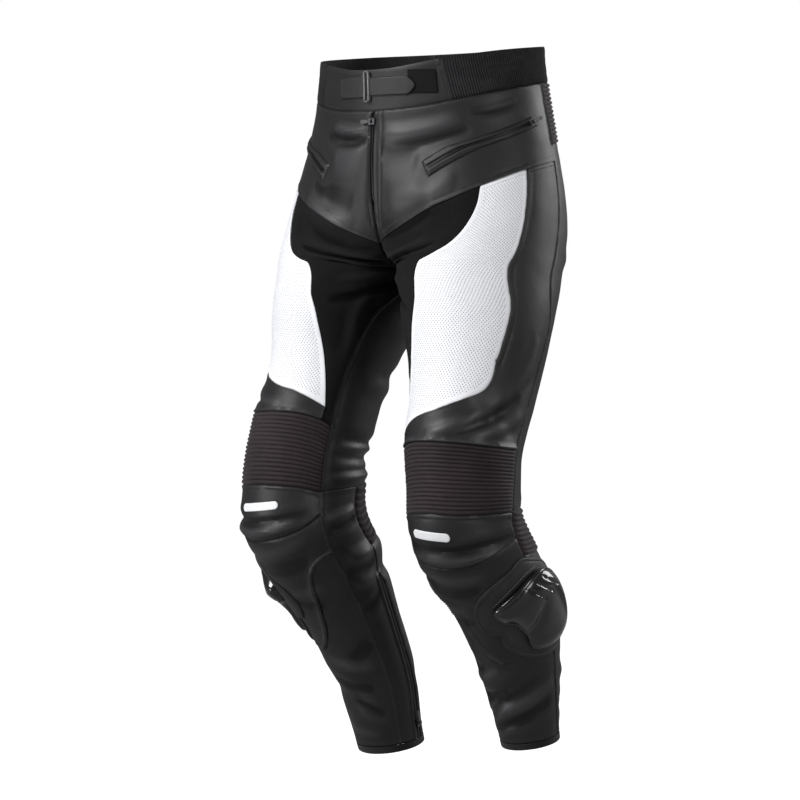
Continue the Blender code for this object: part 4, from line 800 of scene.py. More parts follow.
def cloth_finish(name, deep, worn, roughness, threads, depth, sheen=0.12):
    made, tree, shader = new_finish(name, Specular_IOR_Level=0.10, Sheen_Weight=sheen, Sheen_Roughness=0.5)
    dye = placed(tree, tone, [("Deep", (*deep, 1)), ("Worn", (*worn, 1)), ("Patches per metre", 16.0)])
    threading = placed(tree, weave, [("Threads per metre", threads)])
    rubbed = (*(part * 1.6 for part in worn), 1)
    # seam: the colour of the painted shade in seams, fold troughs and rib valleys.
    seam = (*(part * 0.3 for part in deep), 1)
    shaded = placed(tree, rub_and_shade, [("Rubbed", rubbed), ("Seam", seam), ("Amount", 0.4)], [("Colour", dye["Colour"])])
    flecks = math_node(tree, "MULTIPLY", threading["Thread"], 0.6)
    tree.links.new(darkened(tree, flecks, shaded["Colour"], (0.55, 0.55, 0.57)), shader["Base Color"])
    gloss = math_node(tree, "MULTIPLY_ADD", threading["Thread"], 0.12, roughness - 0.06)
    tree.links.new(gloss, shader["Roughness"])
    bump(tree, threading["Height"], 0.5, depth, shader)
    return made


# The fourth colour is the painted shade in seams and hollows.
black_leather = leather_finish("black leather", (0.0085, 0.0085, 0.0095), (0.0155, 0.0155, 0.017),
                               (0.050, 0.050, 0.054), (0.002, 0.002, 0.0025), 0.43)
stretch_cloth = cloth_finish("matte stretch cloth", (0.0060, 0.0060, 0.0064), (0.0105, 0.0105, 0.0112), 0.9, 1300,
                             0.0003, 0.03)
ribbed_cloth = cloth_finish("ribbed stretch", (0.018, 0.0128, 0.0142), (0.036, 0.026, 0.029), 0.60, 1500, 0.0002, 0.08)
knit = cloth_finish("knit elastic", (0.016, 0.016, 0.017), (0.028, 0.028, 0.030), 0.85, 1600, 0.0003, 0.05)
binding_cloth = cloth_finish("hem binding", (0.014, 0.013, 0.014), (0.022, 0.020, 0.021), 0.8, 1500, 0.0003, 0.12)
zip_tape = cloth_finish("zip tape", (0.007, 0.007, 0.008), (0.011, 0.011, 0.012), 0.8, 1800, 0.0002, 0.05)


def perforated_finish():
    """White leather with rows of small holes, offset from row to row; a plain margin along the seams."""
    made, tree, shader = new_finish("white perforated leather", Specular_IOR_Level=0.45)
    place = node(tree, "UVMap", [("uv_map", "cut")])[0]
    parts = node(tree, "SeparateXYZ", [], [], [("Vector", place)])
    holes = None
    for shift in (0.0, 0.5):
        gaps = []
        for axis, pitch in (("X", 0.0047), ("Y", 0.0048)):
            steps = math_node(tree, "MULTIPLY_ADD", parts[axis], 1 / pitch, shift)
            away = math_node(tree, "SUBTRACT", math_node(tree, "FRACT", steps), 0.5)
            gaps.append(math_node(tree, "MULTIPLY", away, pitch * 1000))
        square = math_node(tree, "MULTIPLY_ADD", gaps[0], gaps[0], math_node(tree, "MULTIPLY", gaps[1], gaps[1]))
        one = node(tree, "MapRange", [("interpolation_type", "SMOOTHSTEP")],
                   [("From Min", 0.90), ("From Max", 0.45)], [("Value", math_node(tree, "SQRT", square))])[0]
        holes = one if holes is None else math_node(tree, "MAXIMUM", holes, one)
    margin = node(tree, "Attribute", [("attribute_name", "margin")])["Fac"]
    holes = math_node(tree, "MULTIPLY", holes, ranged(tree, margin, 0.0066, 0.0070))
    dye = placed(tree, tone, [("Deep", (0.80, 0.81, 0.85, 1)), ("Worn", (0.88, 0.885, 0.915, 1))])
    # The grey colour is painted shade in the seam dents and crease troughs of the white leather.
    top = placed(tree, rub_and_shade, [("Rubbed", (0.90, 0.90, 0.92, 1)), ("Seam", (0.30, 0.30, 0.32, 1)), ("Amount", 0.2)],
                 [("Colour", dye["Colour"])])
    tree.links.new(mixed_colour(tree, holes, top["Colour"], (0.24, 0.24, 0.27, 1)), shader["Base Color"])
    tree.links.new(math_node(tree, "MULTIPLY_ADD", holes, 0.3, 0.46), shader["Roughness"])
    pebbles = placed(tree, grain)
    depth = math_node(tree, "MULTIPLY_ADD", holes, -3.0, pebbles["Height"])
    bump(tree, depth, 0.5, 0.0002, shader)
    return made


white_leather = perforated_finish()


def plastic_finish(name, deep, worn, roughness, coat=0.0, metallic=0.0):
    """Moulded plastic or metal: an even colour, a little dulled in patches, with fine wear in the gloss."""
    made, tree, shader = new_finish(name, Specular_IOR_Level=0.5, Coat_Weight=coat, Coat_Roughness=0.06,
                                    Metallic=metallic)
    dye = placed(tree, tone, [("Deep", (*deep, 1)), ("Worn", (*worn, 1)), ("Patches per metre", 40.0)])
    tree.links.new(dye["Colour"], shader["Base Color"])
    gloss = ranged(tree, dye["Patch"], 0.0, 1.0, roughness + 0.04, roughness - 0.03)
    pebbles = placed(tree, grain)
    tree.links.new(math_node(tree, "MULTIPLY_ADD", pebbles["Valley"], 0.03, gloss), shader["Roughness"])
    bump(tree, pebbles["Height"], 0.12, 0.00005, shader)
    return made


glossy_plastic = plastic_finish("glossy slider plastic", (0.0035, 0.0035, 0.004), (0.006, 0.006, 0.0065), 0.17, 0.45)
matte_plastic = plastic_finish("matte moulded patch", (0.009, 0.009, 0.0095), (0.016, 0.016, 0.017), 0.62)
tooth_plastic = plastic_finish("zip teeth", (0.010, 0.010, 0.011), (0.020, 0.020, 0.022), 0.34)
dark_metal = plastic_finish("blackened metal", (0.09, 0.09, 0.095), (0.20, 0.20, 0.21), 0.30, 0.0, 0.9)
pale_metal = plastic_finish("grey metal loop", (0.13, 0.13, 0.135), (0.22, 0.22, 0.225), 0.38, 0.0, 0.7)
white_rubber = plastic_finish("white rubber", (0.72, 0.73, 0.75), (0.80, 0.81, 0.83), 0.42)
dark_thread = plastic_finish("black thread", (0.006, 0.006, 0.007), (0.030, 0.030, 0.033), 0.5)
pale_thread = plastic_finish("grey thread", (0.22, 0.22, 0.23), (0.36, 0.36, 0.38), 0.6)


# ---- the plain panels
# Cowhide about 1.5 mm thick and, at the inner thigh, two-way stretch cloth. The panels are lapped or turned at
# the seams, and topstitched where the photograph shows it. Each is one piece of cloth as it was cut.
PANEL_STEP = 0.0046
INNER_STEP = 0.013
CLOSED_GAP = 0.00003  # the dent at a sewn seam hides what little stays open
WALL = 0.0017
LINING_GAP = 0.0012  # how much further in the inner face lies away from the seams
SEAM_ROWS = (0.0009, 0.0021, 0.0036)  # rows of mesh beside each seam
ROW_CLEAR = 0.0024

# seam: which panel lies on top. All others are turned in.
LAPPED = {
    "waist_yoke": None, "yoke_low_inner": "yoke", "yoke_low_middle": "yoke", "yoke_low_outer": "yoke",
    "inset_outer": "outer_thigh", "inset_bottom": "outer_thigh", "inset_inner": "thigh_inset",
    "inset_stub": "outer_thigh", "knee_top_inner": None, "side_rib": "yoke", "side_small": "yoke",
    "shin_curve": "shin_upper", "shin_low": "shin_upper", "calf_join": "calf_outer", "back_knee_seam": "calf_inner",
    "zip_front": "calf_inner", "zip_back": "calf_outer",
}
# panel, seam: how far in from the seam each row of stitches lies, in millimetres
TOPSTITCH = {
    ("yoke", "yoke_low_inner"): (6.0,), ("yoke", "yoke_low_middle"): (6.0,), ("yoke", "yoke_low_outer"): (6.0,),
    ("yoke", "side_rib"): (5.0,), ("yoke", "waist_yoke"): (3.0,), ("thigh_inset", "yoke_low_middle"): (5.5,),
    ("outer_thigh", "inset_outer"): (8.0,), ("outer_thigh", "inset_bottom"): (3.0,),
    ("outer_thigh", "yoke_low_outer"): (6.0,), ("outer_thigh", "knee_top"): (3.0,),
    ("outer_thigh", "outseam_thigh"): (3.0,), ("seat", "seat_top"): (3.0,), ("seat", "crotch_back"): (3.0,),
    ("seat", "back_knee_top"): (3.0,), ("seat", "back_knee_seam"): (3.0,),
    ("knee_cup", "knee_bottom"): (7.5,), ("knee_cup", "cup_low"): (2.5, 7.0),
    ("shin_upper", "shin_curve"): (2.5,), ("shin_upper", "shin_low"): (2.5,), ("shin_upper", "outseam_upper"): (3.0,),
    ("shin_lower", "outseam_lower"): (3.0,), ("calf_outer", "back_knee_low"): (3.0,),
    ("calf_outer", "zip_back"): (2.5, 7.0), ("calf_inner", "zip_front"): (2.5, 7.0),
    ("calf_outer", "calf_join"): (2.5,),
}
# seams whose lap is rolled up into a thick edge: height and half the width in millimetres
ROLLED = {("shin_upper", "shin_curve"): (2.6, 3.2), ("calf_inner", "zip_front"): (1.6, 3.5),
          ("calf_outer", "zip_back"): (1.4, 3.5), ("outer_thigh", "knee_top"): (2.4, 3.2),
          ("knee_cup", "knee_bottom"): (1.0, 4.0), ("yoke", "side_rib"): (1.5, 1.9)}
PIPED = [f"inseam_{half}_{stretch}" for half in ("front", "back") for stretch in INSEAM_STOPS]


def edge_height(panel, seam, away, points):
    """How far a panel stands up at a distance from one of its seams, in metres."""
    mm = away * 1000
    lapped = LAPPED.get(seam, "turned")
    if not (mm < 25).any():
        return np.zeros(len(mm))
    if seam in PIPED:
        height = 0.9 * bell(mm, 0, 1.7) - 0.6 * bell(mm, 3.4, 1.4)
    elif lapped == "turned" or lapped is None:
        height = 0.35 * bell(mm, 4.5, 3) - 1.3 * bell(mm, 0, 1.4)
    elif lapped == panel:
        height = 0.7 * bell(mm, 0, 5) - 0.3 * bell(mm, 0, 0.6)
    else:
        height = -0.9 * bell(mm, 0, 2.2)
    if (panel, seam) in ROLLED:
        peak, half = ROLLED[(panel, seam)]
        height = height + peak * bell(mm, half, 0.6 * half)
    ripple = np.array([noise.noise(Vector(p) * 90) if m < 12 else 0.0 for p, m in zip(points, mm, strict=True)])
    height = height * (1 + 0.5 * ripple)
    for row in TOPSTITCH.get((panel, seam), ()):
        height = height - 0.45 * bell(mm, row, 0.9) * (1 + 0.6 * ripple)
    return height * 0.001


def seam_name(run):
    return run[1:] if run.startswith("-") else run


def off_line(points, line):
    """Distances of points from a line in space; those more than 25 mm away are only told apart roughly."""
    nearest = np.full(len(points), 1.0)
    low, high = line.min(axis=0) - 0.025, line.max(axis=0) + 0.025
    near = np.flatnonzero(((points > low) & (points < high)).all(axis=1))
    close = points[near]
    best = np.full(len(near), 1.0)
    for a, b in zip(line, line[1:], strict=False):
        run = b - a
        s = np.clip(((close - a) @ run) / max(run @ run, 1e-12), 0, 1)
        away = close - a - s[:, None] * run
        best = np.minimum(best, np.einsum("ij,ij->i", away, away))
    nearest[near] = np.sqrt(best)
    return nearest


def shaped(side, panel, places):
    """(points, normals, how far they stand up at the seams) of a panel at places on the pattern."""
    points, normals = sheet(side, places)
    smooth = form(side, places[:, 0], places[:, 1])
    height = np.zeros(len(points))
    for run in PANELS[panel]:
        seam = seam_name(run)
        away = off_line(smooth, form(side, seams[side][seam][:, 0], seams[side][seam][:, 1]))
        height += edge_height(panel, seam, away, points)
    if panel == "yoke":
        height += placket_height(side, smooth)
    return points + normals * height[:, None], normals, height


def placket_height(side, points):
    """The fly's facing: two rows of stitches beside the slit on the left half, and a slight step."""
    height = np.zeros(len(points))
    for row in FLY_ROWS_STITCHED[side]:
        line = form(side, row[:, 0], row[:, 1])
        away = off_line(points, line) * 1000
        height -= 0.0008 * bell(away, 0, 1.0)
    slit = seams[side]["fly"]
    away = off_line(points, form(side, slit[:, 0], slit[:, 1])) * 1000
    rolled = np.clip((-points[:, 2] - 0.098) / 0.012, 0, 1)
    return height + 0.0011 * bell(away, 1.9, 1.0) * rolled


FLY_ROWS_STITCHED = {
    "left": [curve_through([(u, 0.076), (u, 0.150), (u * 0.75, 0.180), (0.001, 0.193 - u)]) for u in (0.016, 0.029)],
    "right": [curve_through([(0.013, 0.080), (0.013, 0.150), (0.010, 0.176)])],
}


def fan(corners, edges):
    """Triangles between flat corners, kept inside their closed outline, and where each corner went."""
    points, _, triangles, origins, _, _ = delaunay_2d_cdt([Vector(p) for p in corners], edges, [], 0, 1e-8)
    points = np.array([tuple(p) for p in points])
    triangles = np.array([tuple(t) for t in triangles])
    went = {}
    for number, sources in enumerate(origins):
        for source in sources:
            went[source] = number
    return points, triangles, went


def filled(ring, inside_points):
    """A closed flat outline filled with triangles: flat points, of which the outline's come first, and triangles."""
    n = len(ring)
    points, triangles, went = fan(np.vstack([ring, inside_points]), [(i, (i + 1) % n) for i in range(n)])
    triangles = triangles[inside(points[triangles].mean(axis=1), ring)]
    order = [went[i] for i in range(n)]
    rest = np.setdiff1d(np.unique(triangles), order)
    number = np.full(len(points), -1)
    number[order] = np.arange(n)
    number[rest] = n + np.arange(len(rest))
    return points[np.concatenate([order, rest])], number[triangles]


def turned_area(ring):
    x, y = ring[:, 0], ring[:, 1]
    return 0.5 * np.sum(x * np.roll(y, -1) - y * np.roll(x, -1))


def walked_left(ring):
    """The outline, turned round where the piece would lie to its right."""
    return ring[::-1] if turned_area(ring) < 0 else ring


def hexagonal_points(low, high, step):
    rows = np.arange(low[1], high[1], step * 0.866)
    return np.array([(x, y) for r, y in enumerate(rows) for x in np.arange(low[0] + (r % 2) * step / 2, high[0], step)])


def points_inside(ring, step, clear):
    grid = hexagonal_points(ring.min(axis=0), ring.max(axis=0), step)
    grid = grid[inside(grid, ring)]
    return grid[distance_to(grid, ring) > clear] if len(grid) else grid


def rows_along(line, ways, turn):
    """Flat points beside a flat line, at each of the given distances to its inner side."""
    ahead = np.gradient(line, axis=0)
    ahead /= np.linalg.norm(ahead, axis=1)[:, None]
    aside = np.stack([-ahead[:, 1], ahead[:, 0]], axis=1) * turn
    return [line + aside * way for way in ways]


def mesh_piece(name, points, faces, finish, cut=None, crest=None, margin=None, body="garment", sharp=35, origin=None):
    mesh = bpy.data.meshes.new(name)
    points = np.asarray(points, float)
    if origin is not None:
        points = points - np.array(origin)
    mesh.from_pydata(points.tolist(), [], faces)
    if cut is not None:
        corner = np.empty(len(mesh.loops), int)
        mesh.loops.foreach_get("vertex_index", corner)
        mesh.uv_layers.new(name="cut").data.foreach_set("uv", np.asarray(cut)[corner].astype(np.float32).ravel())
    for label, values in (("crest", crest), ("margin", margin)):
        if values is not None:
            mesh.attributes.new(label, "FLOAT", "POINT").data.foreach_set("value", np.asarray(values, np.float32))
    mesh.materials.append(finish)
    mesh.shade_smooth()
    if sharp:
        mesh.set_sharp_from_angle(angle=math.radians(sharp))
    piece = bpy.data.objects.new(name, mesh)
    if origin is not None:
        piece.location = origin
    bpy.context.scene.collection.objects.link(piece)
    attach(piece, body)
    return piece


def facing(points, normals, faces):
    """True where the first triangles face the way of the normals."""
    some = np.asarray(faces)[:: max(1, len(faces) // 200)]
    a, b, c = points[some[:, 0]], points[some[:, 1]], points[some[:, 2]]
    return np.sum(np.cross(b - a, c - a) * normals[some[:, 0]]) > 0


def drawn_in(ring, normals, amount):
    """The outline moved inwards along the cloth; it is walked so that the panel lies to its left."""
    before = ring - np.roll(ring, 1, axis=0)
    after = np.roll(ring, -1, axis=0) - ring
    before /= np.linalg.norm(before, axis=1)[:, None] + 1e-12
    after /= np.linalg.norm(after, axis=1)[:, None] + 1e-12
    inward = np.cross(normals, before) + np.cross(normals, after)
    inward /= np.linalg.norm(inward, axis=1)[:, None] + 1e-12
    cosine = np.clip((inward * np.cross(normals, after)).sum(axis=1), 0.35, 1)
    return ring + inward * (amount / cosine)[:, None]


def smallest_cut(ring):
    """(width, length, area) of the rectangle of cloth that a flat outline is cut from."""
    best = None
    for turn in np.radians(np.arange(0, 90, 3)):
        c, s = math.cos(turn), math.sin(turn)
        size = np.ptp(ring @ np.array([[c, -s], [s, c]]), axis=0)
        if best is None or size[0] * size[1] < best[0] * best[1]:
            best = size
    return float(best[0]), float(best[1]), abs(float(turned_area(ring)))


def declare_cut(ring, nodes, longer=1.0):
    """longer: how much longer the flat cloth is than what its ribs take up."""
    wide, long, area = smallest_cut(ring)
    long *= longer
    area = min(max(area * longer, 0.301 * wide * long), wide * long)
    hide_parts(*nodes)


PANEL_PIECES = {
    # panel: piece name, finish, slot, what it hangs from
    "yoke": ("hip_front_leather", black_leather, "black_leather", "waistband_leather"),
    "inner_thigh": ("inner_thigh_cloth", stretch_cloth, "stretch_cloth", "hip_front_leather"),
    "thigh_inset": ("white_thigh_leather", white_leather, "white_leather", "hip_front_leather"),
    "outer_thigh": ("outer_thigh_leather", black_leather, "black_leather", "hip_front_leather"),
    "seat": ("seat_leather", black_leather, "black_leather", "lumbar_ribs"),
    "knee_cup": ("knee_leather", black_leather, "black_leather", "knee_ribs"),
    "shin_upper": ("shin_upper_leather", black_leather, "black_leather", "knee_leather"),
    "shin_lower": ("shin_lower_leather", black_leather, "black_leather", "shin_upper_leather"),
    "calf_outer": ("calf_outer_leather", black_leather, "black_leather", "back_knee_ribs"),
    "calf_inner": ("calf_inner_leather", black_leather, "black_leather", "seat_leather"),
    "calf_zip": ("calf_zip_tape", zip_tape, "matte_plastic", "calf_inner_leather"),
}

for leg in LEG_ROWS:
    stops = np.linspace(-0.04, 0.99, 70)
    lengths = []
    for stop in stops:
        round_leg = form(leg, np.linspace(0, 1, 90), np.full(90, stop))
        lengths.append(np.linalg.norm(np.diff(round_leg, axis=0), axis=1).sum())
    GIRTHS[leg] = (stops, np.array(lengths))
seams = {leg: seam_places(leg) for leg in LEG_ROWS}


def build_panel(side, panel):
    ring_places = outline(seams[side], PANELS[panel])
    ring = laid_flat(side, ring_places)
    turn = 1.0 if turned_area(ring) > 0 else -1.0
    if turn < 0:
        ring, ring_places = ring[::-1], ring_places[::-1]
    extra = []
    for run in PANELS[panel]:
        line = laid_flat(side, seams[side][seam_name(run)])
        if run.startswith("-"):
            line = line[::-1]
        if len(line) < 3:
            continue
        ways = list(SEAM_ROWS)
        for row in TOPSTITCH.get((panel, seam_name(run)), ()):
            if row > 4:
                ways += [row * 0.001 - 0.0012, row * 0.001, row * 0.001 + 0.0012]
        for way, points in zip(ways, rows_along(line, ways, turn), strict=True):
            points = points[inside(points, ring)]
            if len(points):
                extra.append(points[distance_to(points, ring) > 0.8 * way])
    if panel == "yoke":
        for row in FLY_ROWS_STITCHED[side]:
            for points in rows_along(laid_flat(side, spaced(side, row)), (-0.0012, 0.0, 0.0012), turn):
                extra.append(points[inside(points, ring) & (distance_to(points, ring) > 0.0008)])
    grid = points_inside(ring, PANEL_STEP, 0.0056)
    rows = np.vstack(extra)
    keep = np.ones(len(grid), bool)
    for start in range(0, len(grid), 2000):
        part = grid[start:start + 2000]
        gap = np.min(((part[:, None, :] - rows[None, :, :]) ** 2).sum(axis=2), axis=1)
        keep[start:start + 2000] = gap > ROW_CLEAR**2
    n = len(ring)
    flat_outer, faces = filled(ring, np.vstack([rows, grid[keep]]))
    flat_inner, inner_faces = filled(ring, points_inside(ring, INNER_STEP, 0.006))
    places = from_flat(side, flat_outer)
    places[:n] = ring_places
    outer, normals, height = shaped(side, panel, places)
    # Seam dents, stitch dents and crease troughs below the surface get painted shade from these values.
    crest = (height + crease_height(side, places[:, 0], places[:, 1])) * 1000
    inner_places = from_flat(side, flat_inner)
    inner_places[:n] = ring_places
    inner, inner_normals = sheet(side, inner_places)
    way = 1.0 if facing(outer, normals, faces) else -1.0
    outer[:n] = drawn_in(outer[:n], normals[:n] * way, CLOSED_GAP)
    inner = inner - inner_normals * (WALL + LINING_GAP)
    inner[:n] = outer[:n] - normals[:n] * WALL
    if way < 0:
        faces, inner_faces = faces[:, ::-1], inner_faces[:, ::-1]
    name, finish, slot, above = PANEL_PIECES[panel]
    margin = np.concatenate([distance_to(flat_outer, ring), np.zeros(len(inner))])
    crest = np.concatenate([crest, np.zeros(len(inner))])
    cut = np.vstack([flat_outer, flat_inner])
    order = 1 if way > 0 else -1
    piece = closed_wall_piece(f"{name}_{side}", outer, faces, inner, inner_faces, n, finish, cut, crest, margin, order)
    declare_cut(ring, [f"{panel}_{side}"])


def closed_wall_piece(name, outer, faces, inner, inner_faces, n, finish, cut, crest, margin, order, body="garment"):
    """order is 1 where the outline is walked with the panel to its left as seen from outside."""
    base = len(outer)
    cells = faces.tolist() + (inner_faces[:, ::-1] + base).tolist()
    for i in range(n):
        j = (i + 1) % n
        a, b = (i, j) if order > 0 else (j, i)
        cells += [(b, a, a + base), (b, a + base, b + base)]
    return mesh_piece(name, np.vstack([outer, inner]), cells, finish, cut, crest, margin, body)


for leg in LEG_ROWS:
    for panel_name in PANEL_PIECES:
        build_panel(leg, panel_name)


# ---- ribbed stretch panels
# Stretch cloth gathered over rows of elastic thread: 17 ribs above each knee, 9 behind it, and 14 across the
# lower back from hip to hip. They are sewn in on all four sides, and their ends run flat into the seams.
RIB_STEPS = 8
SEAM_LAP = 0.0012  # the inner face laps behind the neighbour, so no light comes through a seam
RIB_COLUMN = 0.0042
RIB_VALLEY = 0.0004
RIB_WALL = 0.0012
KNEE_RIB = 0.0017
BACK_RIB = 0.0033
LUMBAR_RIB = 0.0022


def evenly(side, run, count):
    """A seam's places at an even number of steps."""
    lengths = run_lengths(form(side, run[:, 0], run[:, 1]))
    return at_lengths(np.linspace(0, lengths[-1], count + 1), lengths, run)


def coons(top, bottom, near, far, rows):
    """Places of a four-sided panel: rows of places from top to bottom. Each side is a run of places."""
    s = np.linspace(0, 1, len(top))
    grid = np.empty((len(rows), len(top), 2))
    for j, t in enumerate(rows):
        start = np.array([np.interp(t, np.linspace(0, 1, len(near)), near[:, k]) for k in range(2)])
        stop = np.array([np.interp(t, np.linspace(0, 1, len(far)), far[:, k]) for k in range(2)])
        across = (1 - t) * top + t * bottom
        sides = (1 - s)[:, None] * start + s[:, None] * stop
        corners = (1 - s)[:, None] * ((1 - t) * top[0] + t * bottom[0])
        corners = corners + s[:, None] * ((1 - t) * top[-1] + t * bottom[-1])
        grid[j] = across + sides - corners
    return grid


def both_sides(places):
    """Points and normals of places whose u runs past the centre front (below 0) or back (above 1)."""
    u = places[:, 0]
    on_left = (u >= 0) & (u <= 1)
    points = np.empty((len(places), 3))
    normals = np.empty((len(places), 3))
    mirrored = np.stack([np.where(u > 1, 2 - u, -u), places[:, 1]], axis=1)
    for chosen, side, source in ((on_left, "left", places), (~on_left, "right", mirrored)):
        if chosen.any():
            points[chosen], normals[chosen] = sheet(side, source[chosen])
    return points, normals


def grid_ring(rows, cols):
    number = np.arange(rows * cols).reshape(rows, cols)
    return np.concatenate([number[0, :-1], number[:-1, -1], number[-1, :0:-1], number[:0:-1, 0]])


def grid_piece(name, finder, side, grid, rise, wall, finish, crest=None, lift=0.0, inner_step=0.013, body="garment"):
    """A closed wall whose outer face is a grid of places, raised by rise, and whose inner face is plain."""
    rows, cols = grid.shape[:2]
    places = grid.reshape(-1, 2)
    points, normals = finder(places)
    outer = points + normals * (rise.reshape(-1) + lift)[:, None]
    number = np.arange(rows * cols).reshape(rows, cols)
    a, b = number[:-1, :-1].ravel(), number[:-1, 1:].ravel()
    c, d = number[1:, 1:].ravel(), number[1:, :-1].ravel()
    faces = np.concatenate([np.stack([a, b, c], axis=1), np.stack([a, c, d], axis=1)])
    if not facing(outer, normals, faces):
        faces = faces[:, ::-1]
    ring = grid_ring(rows, cols)
    flat = laid_flat(side, places)
    if turned_area(flat[ring]) < 0:
        ring = ring[::-1]
    flat_inner, inner_faces = filled(flat[ring], points_inside(flat[ring], inner_step, 0.004))
    n = len(ring)
    inner_places = from_flat(side, flat_inner)
    inner_places[:n] = places[ring]
    inner, inner_normals = finder(inner_places)
    inner = inner + inner_normals * (lift - wall)
    way = 1.0 if facing(inner, inner_normals, inner_faces) else -1.0
    edge = drawn_in(outer[ring], normals[ring] * way, CLOSED_GAP)
    outer[ring] = edge
    lapped = drawn_in(edge, normals[ring] * way, -SEAM_LAP)
    if name.startswith("waistband"):
        lapped = np.where((ring // cols == 0)[:, None], edge, lapped)
    inner[:n] = lapped - normals[ring] * (wall + rise.reshape(-1)[ring])[:, None]
    base = len(outer)
    cells = faces.tolist()
    inner_faces = inner_faces if way < 0 else inner_faces[:, ::-1]
    cells += (inner_faces + base).tolist()
    # The outline in the order that the outer faces walk it.
    walked = list(range(n)) if way > 0 else list(range(n))[::-1]
    for k in range(n):
        i, j = walked[k], walked[(k + 1) % n]
        oi, oj = int(ring[i]), int(ring[j])
        cells += [(oj, oi, i + base), (oj, i + base, j + base)]
    stands = (rise.reshape(-1) * 1000 if crest is None else crest.reshape(-1))
    piece = mesh_piece(name, np.vstack([outer, inner]), cells, finish, np.vstack([flat, flat_inner]),
                       np.concatenate([stands, np.zeros(len(inner))]), None, body)
    return piece, flat[ring]


def rib_grid(top, bottom, near, far, ribs):
    steps = (1 - np.cos(np.linspace(0, math.pi, RIB_STEPS + 1)))[:-1] / 2
    one_rib = 0.15 * steps + 0.85 * np.arange(RIB_STEPS) / RIB_STEPS
    rows = np.concatenate([k + one_rib for k in range(ribs)] + [[ribs]])
    return coons(top, bottom, near, far, rows / ribs), rows


def rib_rise(grid, rows, height, seed):
    """Round-backed ribs with narrow valleys, a little uneven along their length, flat at both ends."""
    count, cols = grid.shape[:2]
    along = np.linspace(0, 1, cols)
    rise = np.empty((count, cols))
    for r, phase in enumerate(rows):
        rib = min(int(phase), int(rows[-1]) - 1)
        part = phase - rib
        for c in range(cols):
            sway = noise.noise(Vector((c * 0.11, rib * 3.7, seed)))
            full = abs(math.sin(math.pi * part)) ** (0.62 + 0.1 * sway)
            rise[r, c] = height * full * (1 + 0.22 * sway) - RIB_VALLEY * (1 - full)
    ends = np.clip(np.minimum(along, 1 - along) / 0.035, 0, 1) ** 0.6
    return rise * ends


for leg in LEG_ROWS:
    cut = seams[leg]
    count = round(np.ptp(laid_flat(leg, cut["knee_bottom"])[:, 0]) / RIB_COLUMN)
    top_run = evenly(leg, np.vstack([cut["knee_top_inner"], cut["knee_top"][1:]]), count)
    grid, rows = rib_grid(top_run, evenly(leg, cut["knee_bottom"], count), cut["inseam_front_knee"],
                          cut["outseam_knee"], KNEE_RIBS)
    rise = rib_rise(grid, rows, KNEE_RIB, 1.0)
    # Crest values 0.6 below the rise give the rib valleys and flat ends painted shade, here and behind the knee.
    piece, ring = grid_piece(f"knee_ribs_{leg}", ON_LEG[leg], leg, grid, rise, RIB_WALL, ribbed_cloth,
                             rise * 1000 - 0.6)
    declare_cut(ring, [f"knee_accordion_{leg}"],
                1.25)

    near = np.vstack([cut["outseam_cup"], cut["outseam_back_knee"][1:]])
    count = round(np.ptp(laid_flat(leg, cut["back_knee_top"])[:, 0]) / RIB_COLUMN)
    grid, rows = rib_grid(evenly(leg, cut["back_knee_top"], count), evenly(leg, cut["back_knee_low"], count), near,
                          cut["back_knee_side"], BACK_RIBS)
    rise = rib_rise(grid, rows, BACK_RIB, 5.0)
    piece, ring = grid_piece(f"back_knee_ribs_{leg}", ON_LEG[leg], leg, grid, rise, RIB_WALL, ribbed_cloth,
                             rise * 500 - 0.6)
    declare_cut(ring, [f"back_knee_{leg}"], 1.3)

bottom_run = seams["left"]["seat_top"]
bottom_run = np.vstack([bottom_run, np.stack([2 - bottom_run[-2::-1, 0], bottom_run[-2::-1, 1]], axis=1)])
count = 2 * round(np.ptp(laid_flat("left", bottom_run)[:, 0]) / RIB_COLUMN / 2)
across = np.linspace(bottom_run[0, 0], bottom_run[-1, 0], count + 1)
bottom_run = np.stack([across, np.interp(across, bottom_run[:, 0], bottom_run[:, 1])], axis=1)
top_run = np.stack([bottom_run[:, 0], waist_seam(bottom_run[:, 0]) + CLOSED_GAP], axis=1)
top_run[0] = seams["left"]["side_rib"][0]
top_run[-1] = (2 - top_run[0, 0], top_run[0, 1])
near_run = seams["left"]["side_rib"]
far_run = np.stack([2 - near_run[:, 0], near_run[:, 1]], axis=1)
grid, rows = rib_grid(top_run, bottom_run, near_run, far_run, LUMBAR_RIBS)
rise = rib_rise(grid, rows, LUMBAR_RIB, 9.0)
# Crest values 0.6 below the rise give the lumbar rib valleys and flat ends painted shade.
piece, ring = grid_piece("lumbar_ribs", both_sides, "left", grid, rise, RIB_WALL, ribbed_cloth, rise * 800 - 0.6)
declare_cut(ring, ["lumbar_accordion"], 1.25)


# ---- pieces that lie on the cloth: how they are filled in
# Patches, strips and rows of small blocks are filled in on the pattern sheet and then laid on the cloth. The
# strap, the zips, the knee bars, the sliders and the stitches are made of them.
def rows_in(ring, ways):
    """Flat points inside a closed outline, at each of the given distances from it."""
    ahead = np.roll(ring, -1, axis=0) - np.roll(ring, 1, axis=0)
    ahead /= np.linalg.norm(ahead, axis=1)[:, None]
    aside = np.stack([-ahead[:, 1], ahead[:, 0]], axis=1)
    found = []
    for way in ways:
        row = ring + aside * way
        row = row[inside(row, ring)]
        found.append(row[distance_to(row, ring) > 0.85 * way])
    return np.vstack(found)


